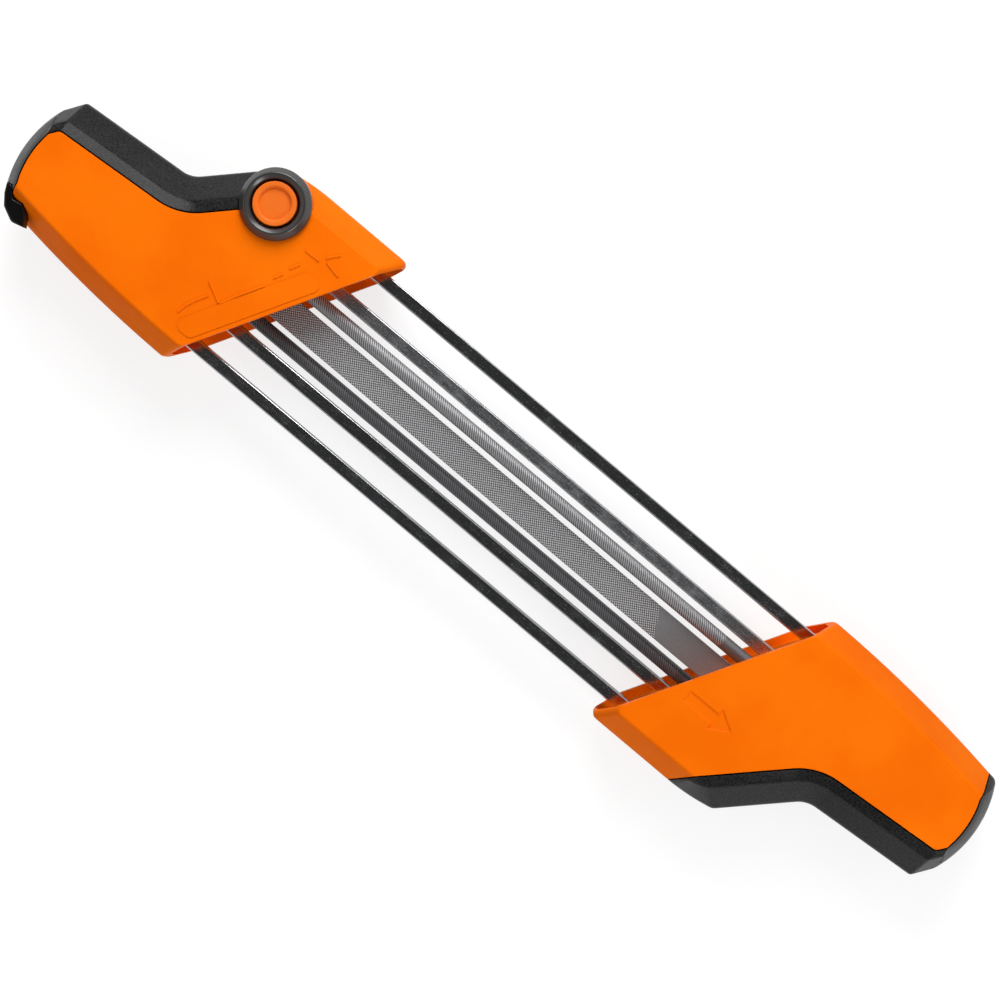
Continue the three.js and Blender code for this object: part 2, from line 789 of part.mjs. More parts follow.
function tube(centres) {
  const positions = [];
  const triangles = [];
  centres.forEach((centre, index) => {
    const before = centres[Math.max(index - 1, 0)];
    const after = centres[Math.min(index + 1, centres.length - 1)];
    const ahead = after.clone().sub(before).normalize();
    const across = new THREE.Vector3(0, 0, 1).cross(ahead).normalize();
    const upward = ahead.clone().cross(across);
    for (let side = 0; side < springSides; side += 1) {
      const angle = 2 * Math.PI * side / springSides;
      const spot = centre.clone()
        .addScaledVector(across, springWire * Math.cos(angle))
        .addScaledVector(upward, springWire * Math.sin(angle));
      positions.push(spot.x, spot.y, spot.z);
    }
  });
  const corner = (ring, side) => ring * springSides + side % springSides;
  for (let ring = 0; ring + 1 < centres.length; ring += 1) {
    for (let side = 0; side < springSides; side += 1) {
      triangles.push(corner(ring, side), corner(ring, side + 1), corner(ring + 1, side + 1));
      triangles.push(corner(ring, side), corner(ring + 1, side + 1), corner(ring + 1, side));
    }
  }
  for (let side = 1; side + 1 < springSides; side += 1) {
    triangles.push(corner(0, 0), corner(0, side + 1), corner(0, side));
    const end = centres.length - 1;
    triangles.push(corner(end, 0), corner(end, side), corner(end, side + 1));
  }
  const geometry = new THREE.BufferGeometry();
  geometry.setAttribute('position', new THREE.Float32BufferAttribute(positions, 3));
  geometry.setIndex(triangles);
  geometry.computeVertexNormals();
  return geometry;
}

// Bars and files, along the whole tool.

function guideBar(y) {
  const half = barWidth / 2;
  const square = rounded([[-half, -half], [half, -half], [half, half], [-half, half]]
    .map((at) => ({ at, round: barRound, steps: cornerSteps })));
  const shape = new THREE.Shape(square.map(([across, height]) => new THREE.Vector2(across, height)));
  const length = 2 * (mouthX + barInHandle);
  const geometry = new THREE.ExtrudeGeometry(shape, { depth: length, bevelEnabled: false });
  geometry.rotateX(Math.PI / 2);
  geometry.rotateZ(Math.PI / 2);
  geometry.translate(y * mouthSlant - length / 2, y, 0);
  const crossHole = (x) => drum(x, y, pinRadius + gap, -barWidth, barWidth, holeSides);
  return solid(geometry)
    .subtract(crossHole(mouthLineX(y) + pinDepth))
    .subtract(crossHole(-mouthLineX(-y) - pinDepth));
}

function roundFile(y, height) {
  const length = 2 * (mouthX + fileInHandle);
  const geometry = new THREE.CylinderGeometry(roundFileRadius, roundFileRadius, length, drumSides);
  geometry.rotateZ(Math.PI / 2);
  geometry.translate(y * mouthSlant, y, height);
  return geometry;
}

function flatFile() {
  return new THREE.BoxGeometry(2 * (mouthX + fileInHandle), flatFileWidth, flatFileThick);
}

// The whole tool. Handles are built in the right handle's place, and the left one is turned over to
// its own. Everything is built about the middle plane and lifted on to the ground.

function piece(name, body, finish) {
  const geometry = body instanceof THREE.BufferGeometry ? body : geometryOf(body);
  const mesh = new THREE.Mesh(geometry, new THREE.MeshStandardMaterial({ ...finish, flatShading: true }));
  mesh.name = name;
  return mesh;
}

function alike(name, bodies, finish) {
  return bodies.map((body, index) => piece(`${name}_${index + 1}`, body, finish));
}

function leftHandle() {
  const handle = new THREE.Group();
  handle.rotation.z = Math.PI;
  handle.add(
    piece('left_base', leftBase(), orange),
    piece('left_cover', leftCover(), orange),
    piece('left_grip', leftGrip(), black),
    piece('cover_tab', coverTab(), black),
    piece('pivot_ring', pivotRing(), black),
    piece('pivot_sleeve', pivotSleeve(), plated),
    piece('pivot_screw', screwBody(pivotX, pivotY, pivotScrewSeat, sleeveWebTop), screwSteel),
    piece('release_button', releaseButton(), orange),
    piece('button_spring', buttonSpring(), screwSteel),
    piece('left_carrier', carrier(-1, coverParting - gap), grey),
    ...alike('left_carrier_screw', carrierScrews(), screwSteel),
    ...alike('left_bar_pin', pins(pinRadius, pinHalfLength), screwSteel),
  );
  return handle;
}

function rightHandle() {
  const handle = new THREE.Group();
  handle.add(
    piece('right_top_shell', rightTopShell(), orange),
    piece('right_bottom_shell', rightBottomShell(), orange),
    piece('right_grip', gripShell, black),
    piece('right_carrier', carrier(1, halfThickness), grey),
    ...alike('right_carrier_screw', carrierScrews(), screwSteel),
    ...alike('right_shell_screw', shellScrews(), screwSteel),
    ...alike('right_bar_pin', pins(pinRadius, pinHalfLength), screwSteel),
  );
  return handle;
}

function barsAndFiles() {
  const rods = new THREE.Group();
  rods.add(
    piece('outer_bar_front', guideBar(-outerBarY), plated),
    piece('inner_bar_front', guideBar(-innerBarY), plated),
    piece('inner_bar_rear', guideBar(innerBarY), plated),
    piece('outer_bar_rear', guideBar(outerBarY), plated),
    piece('round_file_front', roundFile(-roundFileY, -roundFileRise), fileSteel),
    piece('round_file_rear', roundFile(roundFileY, roundFileRise), fileSteel),
    piece('flat_file', flatFile(), fileSteel),
  );
  return rods;
}

const fileGuide = new THREE.Group();
fileGuide.position.z = halfThickness;
fileGuide.add(leftHandle(), rightHandle(), barsAndFiles());

export default fileGuide;
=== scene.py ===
# %% [markdown]
# # A guide for filing saw chain
# Two hollow plastic handles are joined by four bright square bars, which hold two round files and one
# flat file between them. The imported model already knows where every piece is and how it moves. Here the
# pieces get the softness, the finish and the light that make them look like the real tool.
#
# The first step loads that model as a fixed frame. Its box is kept, so that the finished look can be
# compared with it at the end.

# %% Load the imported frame
import math

import bmesh
import bpy
from mathutils import Matrix, Vector


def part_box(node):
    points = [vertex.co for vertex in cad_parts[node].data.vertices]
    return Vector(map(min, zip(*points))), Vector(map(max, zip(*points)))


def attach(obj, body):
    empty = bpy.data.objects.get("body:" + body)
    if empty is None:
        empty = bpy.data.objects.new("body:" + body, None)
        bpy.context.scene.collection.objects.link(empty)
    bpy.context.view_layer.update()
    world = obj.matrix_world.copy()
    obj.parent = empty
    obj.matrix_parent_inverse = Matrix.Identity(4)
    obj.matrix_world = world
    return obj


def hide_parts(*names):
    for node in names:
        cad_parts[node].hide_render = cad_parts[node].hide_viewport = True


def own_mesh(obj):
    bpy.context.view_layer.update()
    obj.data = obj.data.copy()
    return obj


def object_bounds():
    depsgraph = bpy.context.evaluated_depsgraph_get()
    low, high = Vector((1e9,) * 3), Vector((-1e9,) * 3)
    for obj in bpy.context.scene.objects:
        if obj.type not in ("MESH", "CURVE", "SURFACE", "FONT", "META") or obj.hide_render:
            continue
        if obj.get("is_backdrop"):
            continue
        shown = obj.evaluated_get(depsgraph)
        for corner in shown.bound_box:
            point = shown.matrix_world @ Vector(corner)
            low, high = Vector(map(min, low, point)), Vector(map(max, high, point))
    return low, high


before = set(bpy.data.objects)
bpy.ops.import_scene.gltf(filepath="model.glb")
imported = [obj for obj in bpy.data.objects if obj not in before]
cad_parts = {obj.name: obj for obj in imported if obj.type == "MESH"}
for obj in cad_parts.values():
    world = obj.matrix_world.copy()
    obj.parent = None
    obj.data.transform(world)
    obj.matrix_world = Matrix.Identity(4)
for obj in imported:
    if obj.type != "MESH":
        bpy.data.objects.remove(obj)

packed_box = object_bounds()

# %% [markdown]
# ## Millimetres, and a bench for tools
# Sizes are written in millimetres, as on a drawing, and `mm` turns them into Blender's metres. A shape
# that only cuts other shapes is a tool. It goes on the bench, which is cleared before the last step, so
# that no tool is left in the scene. Tools cut, join or keep the overlap, with Blender's exact Boolean. It
# can leave torn edges where faces nearly coincide, so `measured` counts the edges that don't join two
# faces. A sound piece has none.

# %% Meshes from points, and the bench
mm = 0.001
bench = []
CUT, JOIN, KEEP = "DIFFERENCE", "UNION", "INTERSECT"


def mesh_piece(name, points, faces):
    """A new object from points in millimetres, with its faces turned outwards."""
    mesh = bpy.data.meshes.new(name)
    mesh.from_pydata([Vector(point) * mm for point in points], [], faces)
    shape = bmesh.new()
    shape.from_mesh(mesh)
    bmesh.ops.recalc_face_normals(shape, faces=shape.faces)
    shape.to_mesh(mesh)
    shape.free()
    piece = bpy.data.objects.new(name, mesh)
    bpy.context.scene.collection.objects.link(piece)
    return piece


def tool(piece):
    """Puts a cutting shape on the bench."""
    bench.append(piece)
    return piece


def copy_of(piece, name):
    twin = bpy.data.objects.new(name, piece.data.copy())
    bpy.context.scene.collection.objects.link(twin)
    return twin


def bake(piece):
    """Makes the modifiers of a piece part of its mesh."""
    graph = bpy.context.evaluated_depsgraph_get()
    shaped = bpy.data.meshes.new_from_object(piece.evaluated_get(graph))
    plain = piece.data
    piece.modifiers.clear()
    piece.data = shaped
    bpy.data.meshes.remove(plain)
    shaped.name = piece.name
    return piece


def carve(piece, *steps):
    """Cuts, joins or crosses a piece with tools, one step after another."""
    for operation, cutter in steps:
        carving = piece.modifiers.new(operation.lower(), "BOOLEAN")
        carving.operation = operation
        carving.solver = "EXACT"
        carving.object = cutter
    return bake(piece)


def measured(piece):
    """A piece's faces, its volume in cubic millimetres, and its edges that don't join two faces."""
    shape = bmesh.new()
    shape.from_mesh(piece.data)
    loose = sum(1 for edge in shape.edges if len(edge.link_faces) != 2)
    facts = {"faces": len(shape.faces), "volume": round(shape.calc_volume() / mm ** 3), "open edges": loose}
    shape.free()
    return facts


print("one millimetre in Blender's metres", mm)

# %% [markdown]
# ## Lofts
# A loft runs a skin over a row of outlines, as a boat's planks run over its ribs. Every body here is one:
# a prism is a loft of two like outlines, a block is a prism on four corners and a drum is one on a
# circle. One function therefore makes them all.

# %% Lofts, prisms, blocks and drums
drum_sides = 64


def loft(name, paths):
    """A closed body. Each path runs from its underside to its top at one place of its outline."""
    count = len(paths)
    levels = len(paths[0])
    points = [path[level] for level in range(levels) for path in paths]
    faces = [tuple(range(count)), tuple(range((levels - 1) * count, levels * count))]
    for level in range(levels - 1):
        for place in range(count):
            low = level * count + place
            beside = level * count + (place + 1) % count
            faces.append((low, beside, beside + count, low + count))
    return mesh_piece(name, points, faces)


def prism(name, outline, low, high):
    return loft(name, [[(x, y, low), (x, y, high)] for x, y in outline])


def block(name, low, high):
    corners = [(low[0], low[1]), (high[0], low[1]), (high[0], high[1]), (low[0], high[1])]
    return prism(name, corners, low[2], high[2])


def drum(name, centre, radius, low, high, sides=drum_sides):
    turns = [2 * math.pi * side / sides for side in range(sides)]
    outline = [(centre[0] + radius * math.cos(turn), centre[1] + radius * math.sin(turn)) for turn in turns]
    return prism(name, outline, low, high)


print("sides of a drum", drum_sides)

# %% [markdown]
# ## The outline of a handle
# Seen from above a handle is not a plain shape: one side is nearly straight, the other steps in at a
# shoulder and runs along a neck where the fingers lie, and the end is a wide arc. We write it as a list
# of corners, each with its own rounding. There are two such lists, one for the waist at half height and
# one for the rim of the flat panel on top. They have the same number of points, so one can be drawn over
# into the other. The right handle is drawn in its own place, and the left one is the same, turned round.
#
# The sides lean inwards in three ways on their way up, so each place also says what it lies on: the plain
# side, the end or the grip's side. A corner may change from one to the next over its rounding.

# %% Corners and roundings
PLAIN, END, GRIP = 0.0, 1.0, 2.0

corner_steps = 6
neck_steps = 14
shoulder_steps = 8
end_steps = 20
plain_steps = 14


def corner(x, y, side, radius=0.0, steps=0, last_side=None):
    """A corner: its place, the kind of side that it is on, and its rounding."""
    last_side = side if last_side is None else last_side
    return Vector((x, y)), side, last_side, radius, steps


def rounded(corners, soft):
    """The places round an outline, each with its kind of side."""
    places = []
    for index, (at, side, last_side, radius, steps) in enumerate(corners):
        if not (soft and steps):
            places.append((at, side))
            continue
        before = (corners[index - 1][0] - at).normalized()
        after = (corners[(index + 1) % len(corners)][0] - at).normalized()
        half = before.angle(after) / 2
        middle = at + (before + after).normalized() * radius / math.sin(half)
        start = at + before * radius / math.tan(half) - middle
        finish = at + after * radius / math.tan(half) - middle
        sweep = math.atan2(start.cross(finish), start.dot(finish))
        for step in range(steps + 1):
            share = step / steps
            spoke = Matrix.Rotation(sweep * share, 2) @ start
            places.append((middle + spoke, side + (last_side - side) * share))
    return places


print("steps round the neck's corner", neck_steps)

# %% [markdown]
# ### Sizes of a handle
# These were measured in the photograph, where three pixels are a millimetre, and put right for the
# camera's perspective. First come the waist's sizes, then the roundings of its corners, and then how far
# in from the waist the panel starts on each side.

# %% The sizes of a handle
half_thickness = (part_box("left_cover")[1].z / mm) / 2
mouth_x = 92.0
mouth_slant = math.tan(math.radians(30))
grip_side_y = -37.8
plain_side_y = 38.35
plain_top_x = 112.0
plain_radius = 480.0
shoulder_x = 122.75
shoulder_start_x = 105.0
shoulder_radius = 75.0
neck = Vector((145.0, -13.5))
neck_slope = 0.0784
heel_x = 187.0
end_radius = 41.0
end_centre = Vector((153.18, 11.0))
heel_top_y = -3.7
end_corner_y = 32.5

mouth_round = 2.0
shoulder_round = 4.0
neck_round = 10.0
heel_round = 1.5
end_corner_round = 2.5
round_room = 4.0

plain_inset = 7.4
grip_inset = 13.4
neck_inset = 12.3
end_inset = 6.5
panel_mouth_round = 2.0
panel_corner_round = 2.4
panel_heel_back = 2.2
panel_heel_rise = 3.2
panel_corner_y = 25.6

diagonal = math.sqrt(0.5)
shoulder_y = neck.y + shoulder_x - neck.x
print("half the thickness of a handle", half_thickness, "and its shoulder's end", (shoulder_x, shoulder_y))

# %% [markdown]
# ### Straight and bowed sides
# The mouth is a slanted line, the plain side is a shallow parabola and the end is an arc. Each is a
# function, so that the waist and the panel can both ask for it at their own distance.

# %% Sides of the outline
def mouth_line_x(y):
    return mouth_x + y * mouth_slant


def plain_side(x, inset):
    return Vector((x, plain_side_y - inset - (x - plain_top_x) ** 2 / (2 * plain_radius)))


def on_end_arc(radius, y):
    return Vector((end_centre.x + math.sqrt(radius ** 2 - (y - end_centre.y) ** 2), y))


def end_arc(radius, low_y, high_y):
    """Corners along the arc of the end, up to the room that its last corner needs to be rounded."""
    first = math.asin((low_y - end_centre.y) / radius)
    last = math.asin((high_y - end_centre.y) / radius) - round_room / radius
    turns = [first + (last - first) * step / end_steps for step in range(1, end_steps + 1)]
    return [corner(end_centre.x + radius * math.cos(turn), end_centre.y + radius * math.sin(turn), END)
            for turn in turns]


def plain_arc(first_x, last_x, inset):
    """Corners along the long, slightly bowed side, clear of the rounded corners at both ends."""
    first, last = first_x - round_room, last_x + round_room
    return [corner(*plain_side(first + (last - first) * step / plain_steps, inset), PLAIN)
            for step in range(plain_steps + 1)]


print("the mouth crosses the middle line at", mouth_line_x(0))

# %% [markdown]
# ### The waist and the rim
# The waist is where the handle is widest, at half its height. The rim bounds the flat panel. A soft
# outline has its corners rounded. A bare one has a single point for each, and serves for the hollow
# inside, which nobody sees.

# %% The waist
def shoulder_shares(soft):
    """Shares of the way down the shoulder. A bare outline needs only the middle one."""
    return [step / shoulder_steps for step in range(1, shoulder_steps)] if soft else [0.5]


def waist_corners(soft):
    curve = []
    for share in shoulder_shares(soft):
        along = (shoulder_x - shoulder_start_x) * share
        curve.append(corner(shoulder_start_x + along, grip_side_y + along ** 2 / (2 * shoulder_radius), GRIP))
    heel_y = neck.y + (heel_x - neck.x) * neck_slope
    end_corner = on_end_arc(end_radius, end_corner_y)
    high = plain_side(mouth_line_x(plain_side_y), 0)
    return [
        corner(mouth_line_x(grip_side_y), grip_side_y, PLAIN, mouth_round, corner_steps),
        corner(shoulder_start_x, grip_side_y, PLAIN),
        *curve,
        corner(shoulder_x, shoulder_y, GRIP, shoulder_round, shoulder_steps),
        corner(*neck, GRIP, neck_round, neck_steps),
        corner(heel_x, heel_y, GRIP, heel_round, corner_steps),
        corner(*on_end_arc(end_radius, heel_top_y), GRIP),
        *end_arc(end_radius, heel_top_y, end_corner_y),
        corner(*end_corner, END, end_corner_round, corner_steps, PLAIN),
        *plain_arc(end_corner.x, mouth_line_x(high.y), 0),
        corner(mouth_line_x(high.y), high.y, PLAIN, mouth_round, corner_steps),
    ]


waist = rounded(waist_corners(True), True)
print("places round a handle", len(waist))

# %% The rim of the panel
rim_step = grip_inset * diagonal
rim_shoulder = Vector((shoulder_x - rim_step, shoulder_y + rim_step))
rim_neck_y = neck.y + neck_inset * math.hypot(1, neck_slope)
rim_neck_x = (rim_neck_y - rim_shoulder.y + rim_shoulder.x - neck_slope * neck.x) / (1 - neck_slope)
rim_neck = Vector((rim_neck_x, rim_neck_y + neck_slope * (rim_neck_x - neck.x)))
rim_fold_y = grip_side_y + plain_inset
rim_fold = Vector((rim_shoulder.x + rim_fold_y - rim_shoulder.y, rim_fold_y))
panel_end_radius = end_radius - end_inset


def rim_corners(soft):
    along_foot = [shoulder_round * (step / shoulder_steps - 0.5) for step in range(shoulder_steps + 1)]
    foot = [rim_shoulder + Vector((diagonal, diagonal)) * along for along in along_foot]
    slope = [rim_fold.lerp(foot[0], share) for share in shoulder_shares(soft)]
    heel_y = rim_neck_y + (heel_x - panel_heel_back - neck.x) * neck_slope
    end_corner = on_end_arc(panel_end_radius, panel_corner_y)
    high = plain_side(mouth_line_x(plain_side_y - plain_inset), plain_inset)
    return [
        corner(mouth_line_x(rim_fold_y), rim_fold_y, PLAIN, panel_mouth_round, corner_steps),
        corner(*rim_fold, PLAIN),
        *[corner(*place, GRIP) for place in slope],
        *[corner(*place, GRIP) for place in (foot if soft else [rim_shoulder])],
        corner(*rim_neck, GRIP, neck_round + neck_inset, neck_steps),
        corner(heel_x - panel_heel_back, heel_y, GRIP, panel_corner_round, corner_steps),
        corner(*on_end_arc(panel_end_radius, heel_y + panel_heel_rise), GRIP),
        *end_arc(panel_end_radius, heel_y + panel_heel_rise, panel_corner_y),
        corner(*end_corner, END, panel_corner_round, corner_steps, PLAIN),
        *plain_arc(end_corner.x, mouth_line_x(high.y), plain_inset),
        corner(mouth_line_x(high.y), high.y, PLAIN, panel_mouth_round, corner_steps),
    ]


rim = rounded(rim_corners(True), True)
print("places round its panel", len(rim))

# %% [markdown]
# ## Soft folds
# Moulded plastic has no knife edges: each fold between two faces is a small curve that catches a line of
# light. A bevel could be put on afterwards, but it stumbles where many cuts meet. It is better to loft
# the curve in from the start. From the waist to the panel we write the path up the side as a few
# corners, and round each corner with a short curve before the skin goes on.
#
# The side leaves the waist at the knee. Beside the grip it breaks once more just below the panel. On the
# other sides it is straight, and towards the end it bows a little.

# %% The body of a handle
knee_height = 4.0
break_height = half_thickness - 2.0
middle_height = (knee_height + break_height) / 2
break_share = 0.68
end_curve = 1.5

knee_soft = 1.5
break_soft = 0.9
edge_soft = 1.0
fold_steps = 4


def plain_share(height):
    return (height - knee_height) / (half_thickness - knee_height)


def grip_share(height):
    if height > break_height:
        return break_share + (1 - break_share) * (height - break_height) / (half_thickness - break_height)
    return break_share * (height - knee_height) / (break_height - knee_height)


def side_share(side, height):
    """How far a side has moved from the waist to the rim at a height."""
    if side == GRIP:
        return grip_share(height)
    plain = plain_share(height)
    return plain + (plain ** end_curve - plain) * side


def soft_path(corners, reaches):
    """A path whose inner corners are rounded off, each over its own reach. Its ends are left out."""
    path = []
    for before, at, after, reach in zip(corners, corners[1:], corners[2:], reaches):
        if reach == 0:
            path.append(at)
            continue
        room = min(reach, (before - at).length / 2, (after - at).length)
        start = at + (before - at).normalized() * room
        finish = at + (after - at).normalized() * room
        for step in range(fold_steps + 1):
            share = step / fold_steps
            path.append(start.lerp(at, share).lerp(at.lerp(finish, share), share))
    return path


def side_path(waist_place, rim_place, side):
    """The path from the lower panel to the upper one at one place of the outline."""
    upward = []
    for height in (knee_height, middle_height, break_height, half_thickness):
        place = waist_place.lerp(rim_place, side_share(side, height))
        upward.append(place.to_3d() + Vector((0, 0, height)))
    inside = rim_place + (rim_place - waist_place).normalized() * edge_soft
    upward.append(inside.to_3d() + Vector((0, 0, half_thickness)))
    flip = Matrix.Scale(-1, 3, (0, 0, 1))
    downward = [flip @ place for place in reversed(upward)]
    reaches = [edge_soft, break_soft, 0, knee_soft]
    return soft_path(downward + upward, reaches + reaches[::-1])


handle_body = tool(loft("handle_body", [
    side_path(waist_place, rim_place, side) for (waist_place, side), (rim_place, _) in zip(waist, rim)
]))
print("faces of a handle's body", len(handle_body.data.polygons))

# %% [markdown]
# ## The hollow and the parting lines
# The handle is a shell, open at its slanted mouth. The hollow is the same loft, drawn a wall's thickness
# further in. Only a bare version is needed, because nobody feels the inside. The other tools are flat
# cuts: the plan of the orange part, which the black grip wraps round, and slabs that follow the mouth.
#
# A narrow slit parts the orange from the black. At half height the orange has a low tongue that lies in a
# groove of the black, as on real mouldings. Without it one could look down the slit and see the floor.

# %% The hollow of a handle
wall = 2.6
roof = 2.5
gap = 0.3
slit = 0.5
skirt_wall = 1.6
overrun = 3.0
bulkhead_depth = 3.0
bulkhead_wall = 2.8
far = 240.0
wide = far / 4
high_cut = half_thickness + overrun
cavity_top = half_thickness - roof


def inset_outline(places, distance):
    """The same outline, drawn a distance further in."""
    moved = []
    for index, at in enumerate(places):
        arriving = (at - places[index - 1]).normalized()
        leaving = (places[(index + 1) % len(places)] - at).normalized()
        inward = Vector((-arriving.y - leaving.y, arriving.x + leaving.x))
        moved.append(at + inward * distance / (1 + arriving.dot(leaving)))
    return moved


def bare_ring(height):
    waist_bare = rounded(waist_corners(False), False)
    rim_bare = rounded(rim_corners(False), False)
    places = []
    for (low, side), (high, _) in zip(waist_bare, rim_bare):
        places.append(low.lerp(high, side_share(side, height)))
    return [place.to_3d() + Vector((0, 0, height)) for place in inset_outline(places, wall)]


def both_ways(heights):
    return [-height for height in reversed(heights)] + heights


def cavity_ring(height):
    return [Vector((x, y, height)) for x, y, _ in bare_ring(abs(height))]


cavity_rings = [cavity_ring(height) for height in both_ways([knee_height, middle_height, cavity_top])]
cavity = tool(loft("cavity", list(zip(*cavity_rings))))


def mouth_slab(name, first_depth, last_depth):
    """A slab that follows the slanted mouth, between two depths inside it."""
    corners = [(mouth_line_x(-far) + first_depth, -far), (mouth_line_x(-far) + last_depth, -far),
               (mouth_line_x(far) + last_depth, far), (mouth_line_x(far) + first_depth, far)]
    return prism(name, corners, -high_cut, high_cut)


mouth_pocket = tool(copy_of(cavity, "mouth_pocket"))
mouth_pocket.data.transform(Matrix.Translation((-(bulkhead_depth + overrun) * mm, 0, 0)))
carve(mouth_pocket, (KEEP, tool(mouth_slab("pocket_slab", -far, bulkhead_depth))))
chamber = tool(copy_of(cavity, "chamber"))
carve(chamber, (KEEP, tool(mouth_slab("chamber_slab", bulkhead_depth + bulkhead_wall, far))))
print("faces of the hollow", len(cavity.data.polygons))

# %% The plan of the orange part
grip_tip = Vector((105.0, grip_side_y))
# The grip's stretch of the rim, counted in places: the mouth's corner and the fold come first, then the
# shoulder and its foot, and the neck, the heel, the end's arc and three single places follow.
grip_start = corner_steps + 2
neck_first = grip_start + 2 * shoulder_steps
end_corner_first = neck_first + neck_steps + corner_steps + 3 + end_steps


def orange_plan(inset):
    """The plan of the orange part: inside the rim beside the grip, and free on its other sides."""
    beside_grip = [place for place, _ in rim[neck_first:end_corner_first + 1]]
    past_fold = rim_fold + (grip_tip - rim_fold).normalized() * wide
    outline = [past_fold, rim_fold, *beside_grip, Vector((beside_grip[-1].x, wide)),
               Vector((0, wide)), Vector((0, rim_fold.y - wide))]
    return inset_outline(outline, inset)


def orange_prism(name, inset):
    return tool(prism(name, orange_plan(inset), -high_cut, high_cut))


tongue_reach = 0.5
tongue_height = 1.0


def tongue(name, reach, height):
    band = tool(block(name + "_band", (-far, -far, -height), (far, far, height)))
    return JOIN, carve(orange_prism(name, -reach), (KEEP, band))


orange_region = carve(orange_prism("orange_region", slit / 2), tongue("tongue", tongue_reach, tongue_height))
skirt_room = orange_prism("skirt_room", slit / 2 + skirt_wall)
grip_limit = carve(orange_prism("grip_limit", -slit / 2),
                   tongue("groove", tongue_reach + slit / 2, tongue_height + slit / 2))
inner_chamber = tool(copy_of(chamber, "inner_chamber"))
carve(inner_chamber, (KEEP, skirt_room))
corner_chamber = tool(copy_of(chamber, "corner_chamber"))
carve(corner_chamber, (CUT, orange_region))
print("tools on the bench", len(bench))

# %% [markdown]
# ## Holes for the rods and screws
# Inside each mouth stands a thin wall that the bars and files pass through. Its holes are as wide as the
# rods and a small clearance, and the rods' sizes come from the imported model, so a rod always fits its
# hole. A bar's hole ends with the bar, or it would come out through the far wall of the handle.

# %% Holes in the wall inside the mouth
bars = ["outer_bar_front", "inner_bar_front", "inner_bar_rear", "outer_bar_rear"]
bar_width = (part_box("outer_bar_front")[1].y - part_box("outer_bar_front")[0].y) / mm
file_in_handle = 14.0


def middle_y(name):
    low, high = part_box(name)
    return (low.y + high.y) / mm / 2


def rod_height(name):
    low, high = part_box(name)
    return (low.z + high.z) / mm / 2 - half_thickness


def rod_holes(side):
    """One tool for each rod's hole, in a handle's own frame. The side is 1 on the right, -1 on the left."""
    holes = []
    for name in bars:
        y = side * middle_y(name)
        half = bar_width / 2 + gap
        end = max(side * reach.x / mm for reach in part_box(name)) + gap
        holes.append(block(name + "_hole", (0, y - half, -half), (end, y + half, half)))
    lift = 0 if side > 0 else half_thickness
    for name in ("round_file_front", "round_file_rear", "flat_file"):
        y = side * middle_y(name)
        low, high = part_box(name)
        half_wide = (high.y - low.y) / mm / 2 + gap
        half_high = (high.z - low.z) / mm / 2 + gap
        height = rod_height(name)
        end = mouth_line_x(y) + file_in_handle + gap
        holes.append(block(name + "_hole", (0, y - half_wide, height - half_high),
                           (end, y + half_wide, height + half_high + lift)))
    return [(CUT, tool(hole)) for hole in holes]


screw_head_radius = 2.6
screw_head_height = 1.8
screw_shank_radius = 1.4


def screw_recess(node):
    """The round recess in the underside that a screw stands in, in a handle's own frame."""
    low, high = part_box(node)
    side = 1 if low.x > 0 else -1
    centre = Vector((low.x + high.x, low.y + high.y)) / 2 / mm * side
    head_top = low.z / mm - half_thickness + screw_head_height
    return CUT, tool(drum(node + "_recess", centre, screw_head_radius + gap, -high_cut, head_top))


print("width of a bar", bar_width)

# %% [markdown]
# ## The right handle
# It is made of two orange shells with a black grip between them. A plain arrow is pressed into its panel.
# The tool for it is a low body that straddles the panel, with sides that lean outwards going up, so that
# the arrow gets slopes and no sharp steps. Leaning inwards, the same function makes a raised plateau.

# %% The arrow
arrow_depth = 0.5
arrow_slope = 0.6
arrow_start, arrow_neck, arrow_tip = 90.0, 101.9, 109.5
arrow_y = -11.4
arrow_half_shaft = 2.2
arrow_half_head = 4.5


def arrow_outline():
    half = [(arrow_start, arrow_half_shaft), (arrow_neck, arrow_half_shaft), (arrow_neck, arrow_half_head)]
    below = [Vector((x, arrow_y - across)) for x, across in half]
    above = [Vector((x, arrow_y + across)) for x, across in reversed(half)]
    return [*below, Vector((arrow_tip, arrow_y)), *above]


def sloped(name, outline, reach, lean):
    """A low body that straddles the panel. Its sides lean inwards going up, or outwards below 0."""
    foot, top = inset_outline(outline, -lean), inset_outline(outline, lean)
    low, high = half_thickness - reach, half_thickness + reach
    return loft(name, [[(*below, low), (*above, high)] for below, above in zip(foot, top)])


arrow = tool(sloped("arrow", arrow_outline(), arrow_depth, -arrow_slope))
print("corners of the arrow", len(arrow_outline()))

# %% [markdown]
# Each shell starts as a copy of the soft body. It is cut along the line of the grip, at the parting
# plane, and in the hollow. The grip is what the orange leaves of the same body.

# %% Shells and grip of the right handle
def height_band(name, low, high):
    return KEEP, tool(block(name, (-far, -far, low), (far, far, high)))


def right_shell(name, band, *extra):
    """An orange shell: the part of the soft body beside the grip and in a band of height, hollowed out."""
    hollows = (CUT, mouth_pocket), (CUT, inner_chamber)
    return carve(copy_of(handle_body, name), (KEEP, orange_region), band, *hollows, *extra)


right_holes = rod_holes(1)
right_top = right_shell("right_upper_shell", height_band("right_top_band", gap / 2, high_cut),
                        *right_holes, (CUT, arrow))
right_screws = [f"right_shell_screw_{number}" for number in (1, 2, 3)]
right_screws += [f"right_carrier_screw_{number}" for number in (1, 2)]
right_bottom = right_shell("right_lower_shell", height_band("right_bottom_band", -high_cut, -gap / 2),
                           *right_holes, *[screw_recess(name) for name in right_screws])
right_grip = carve(copy_of(handle_body, "right_grip_cover"), (CUT, grip_limit), (CUT, cavity))
for piece in (right_top, right_bottom, right_grip):
    print(piece.name, measured(piece))

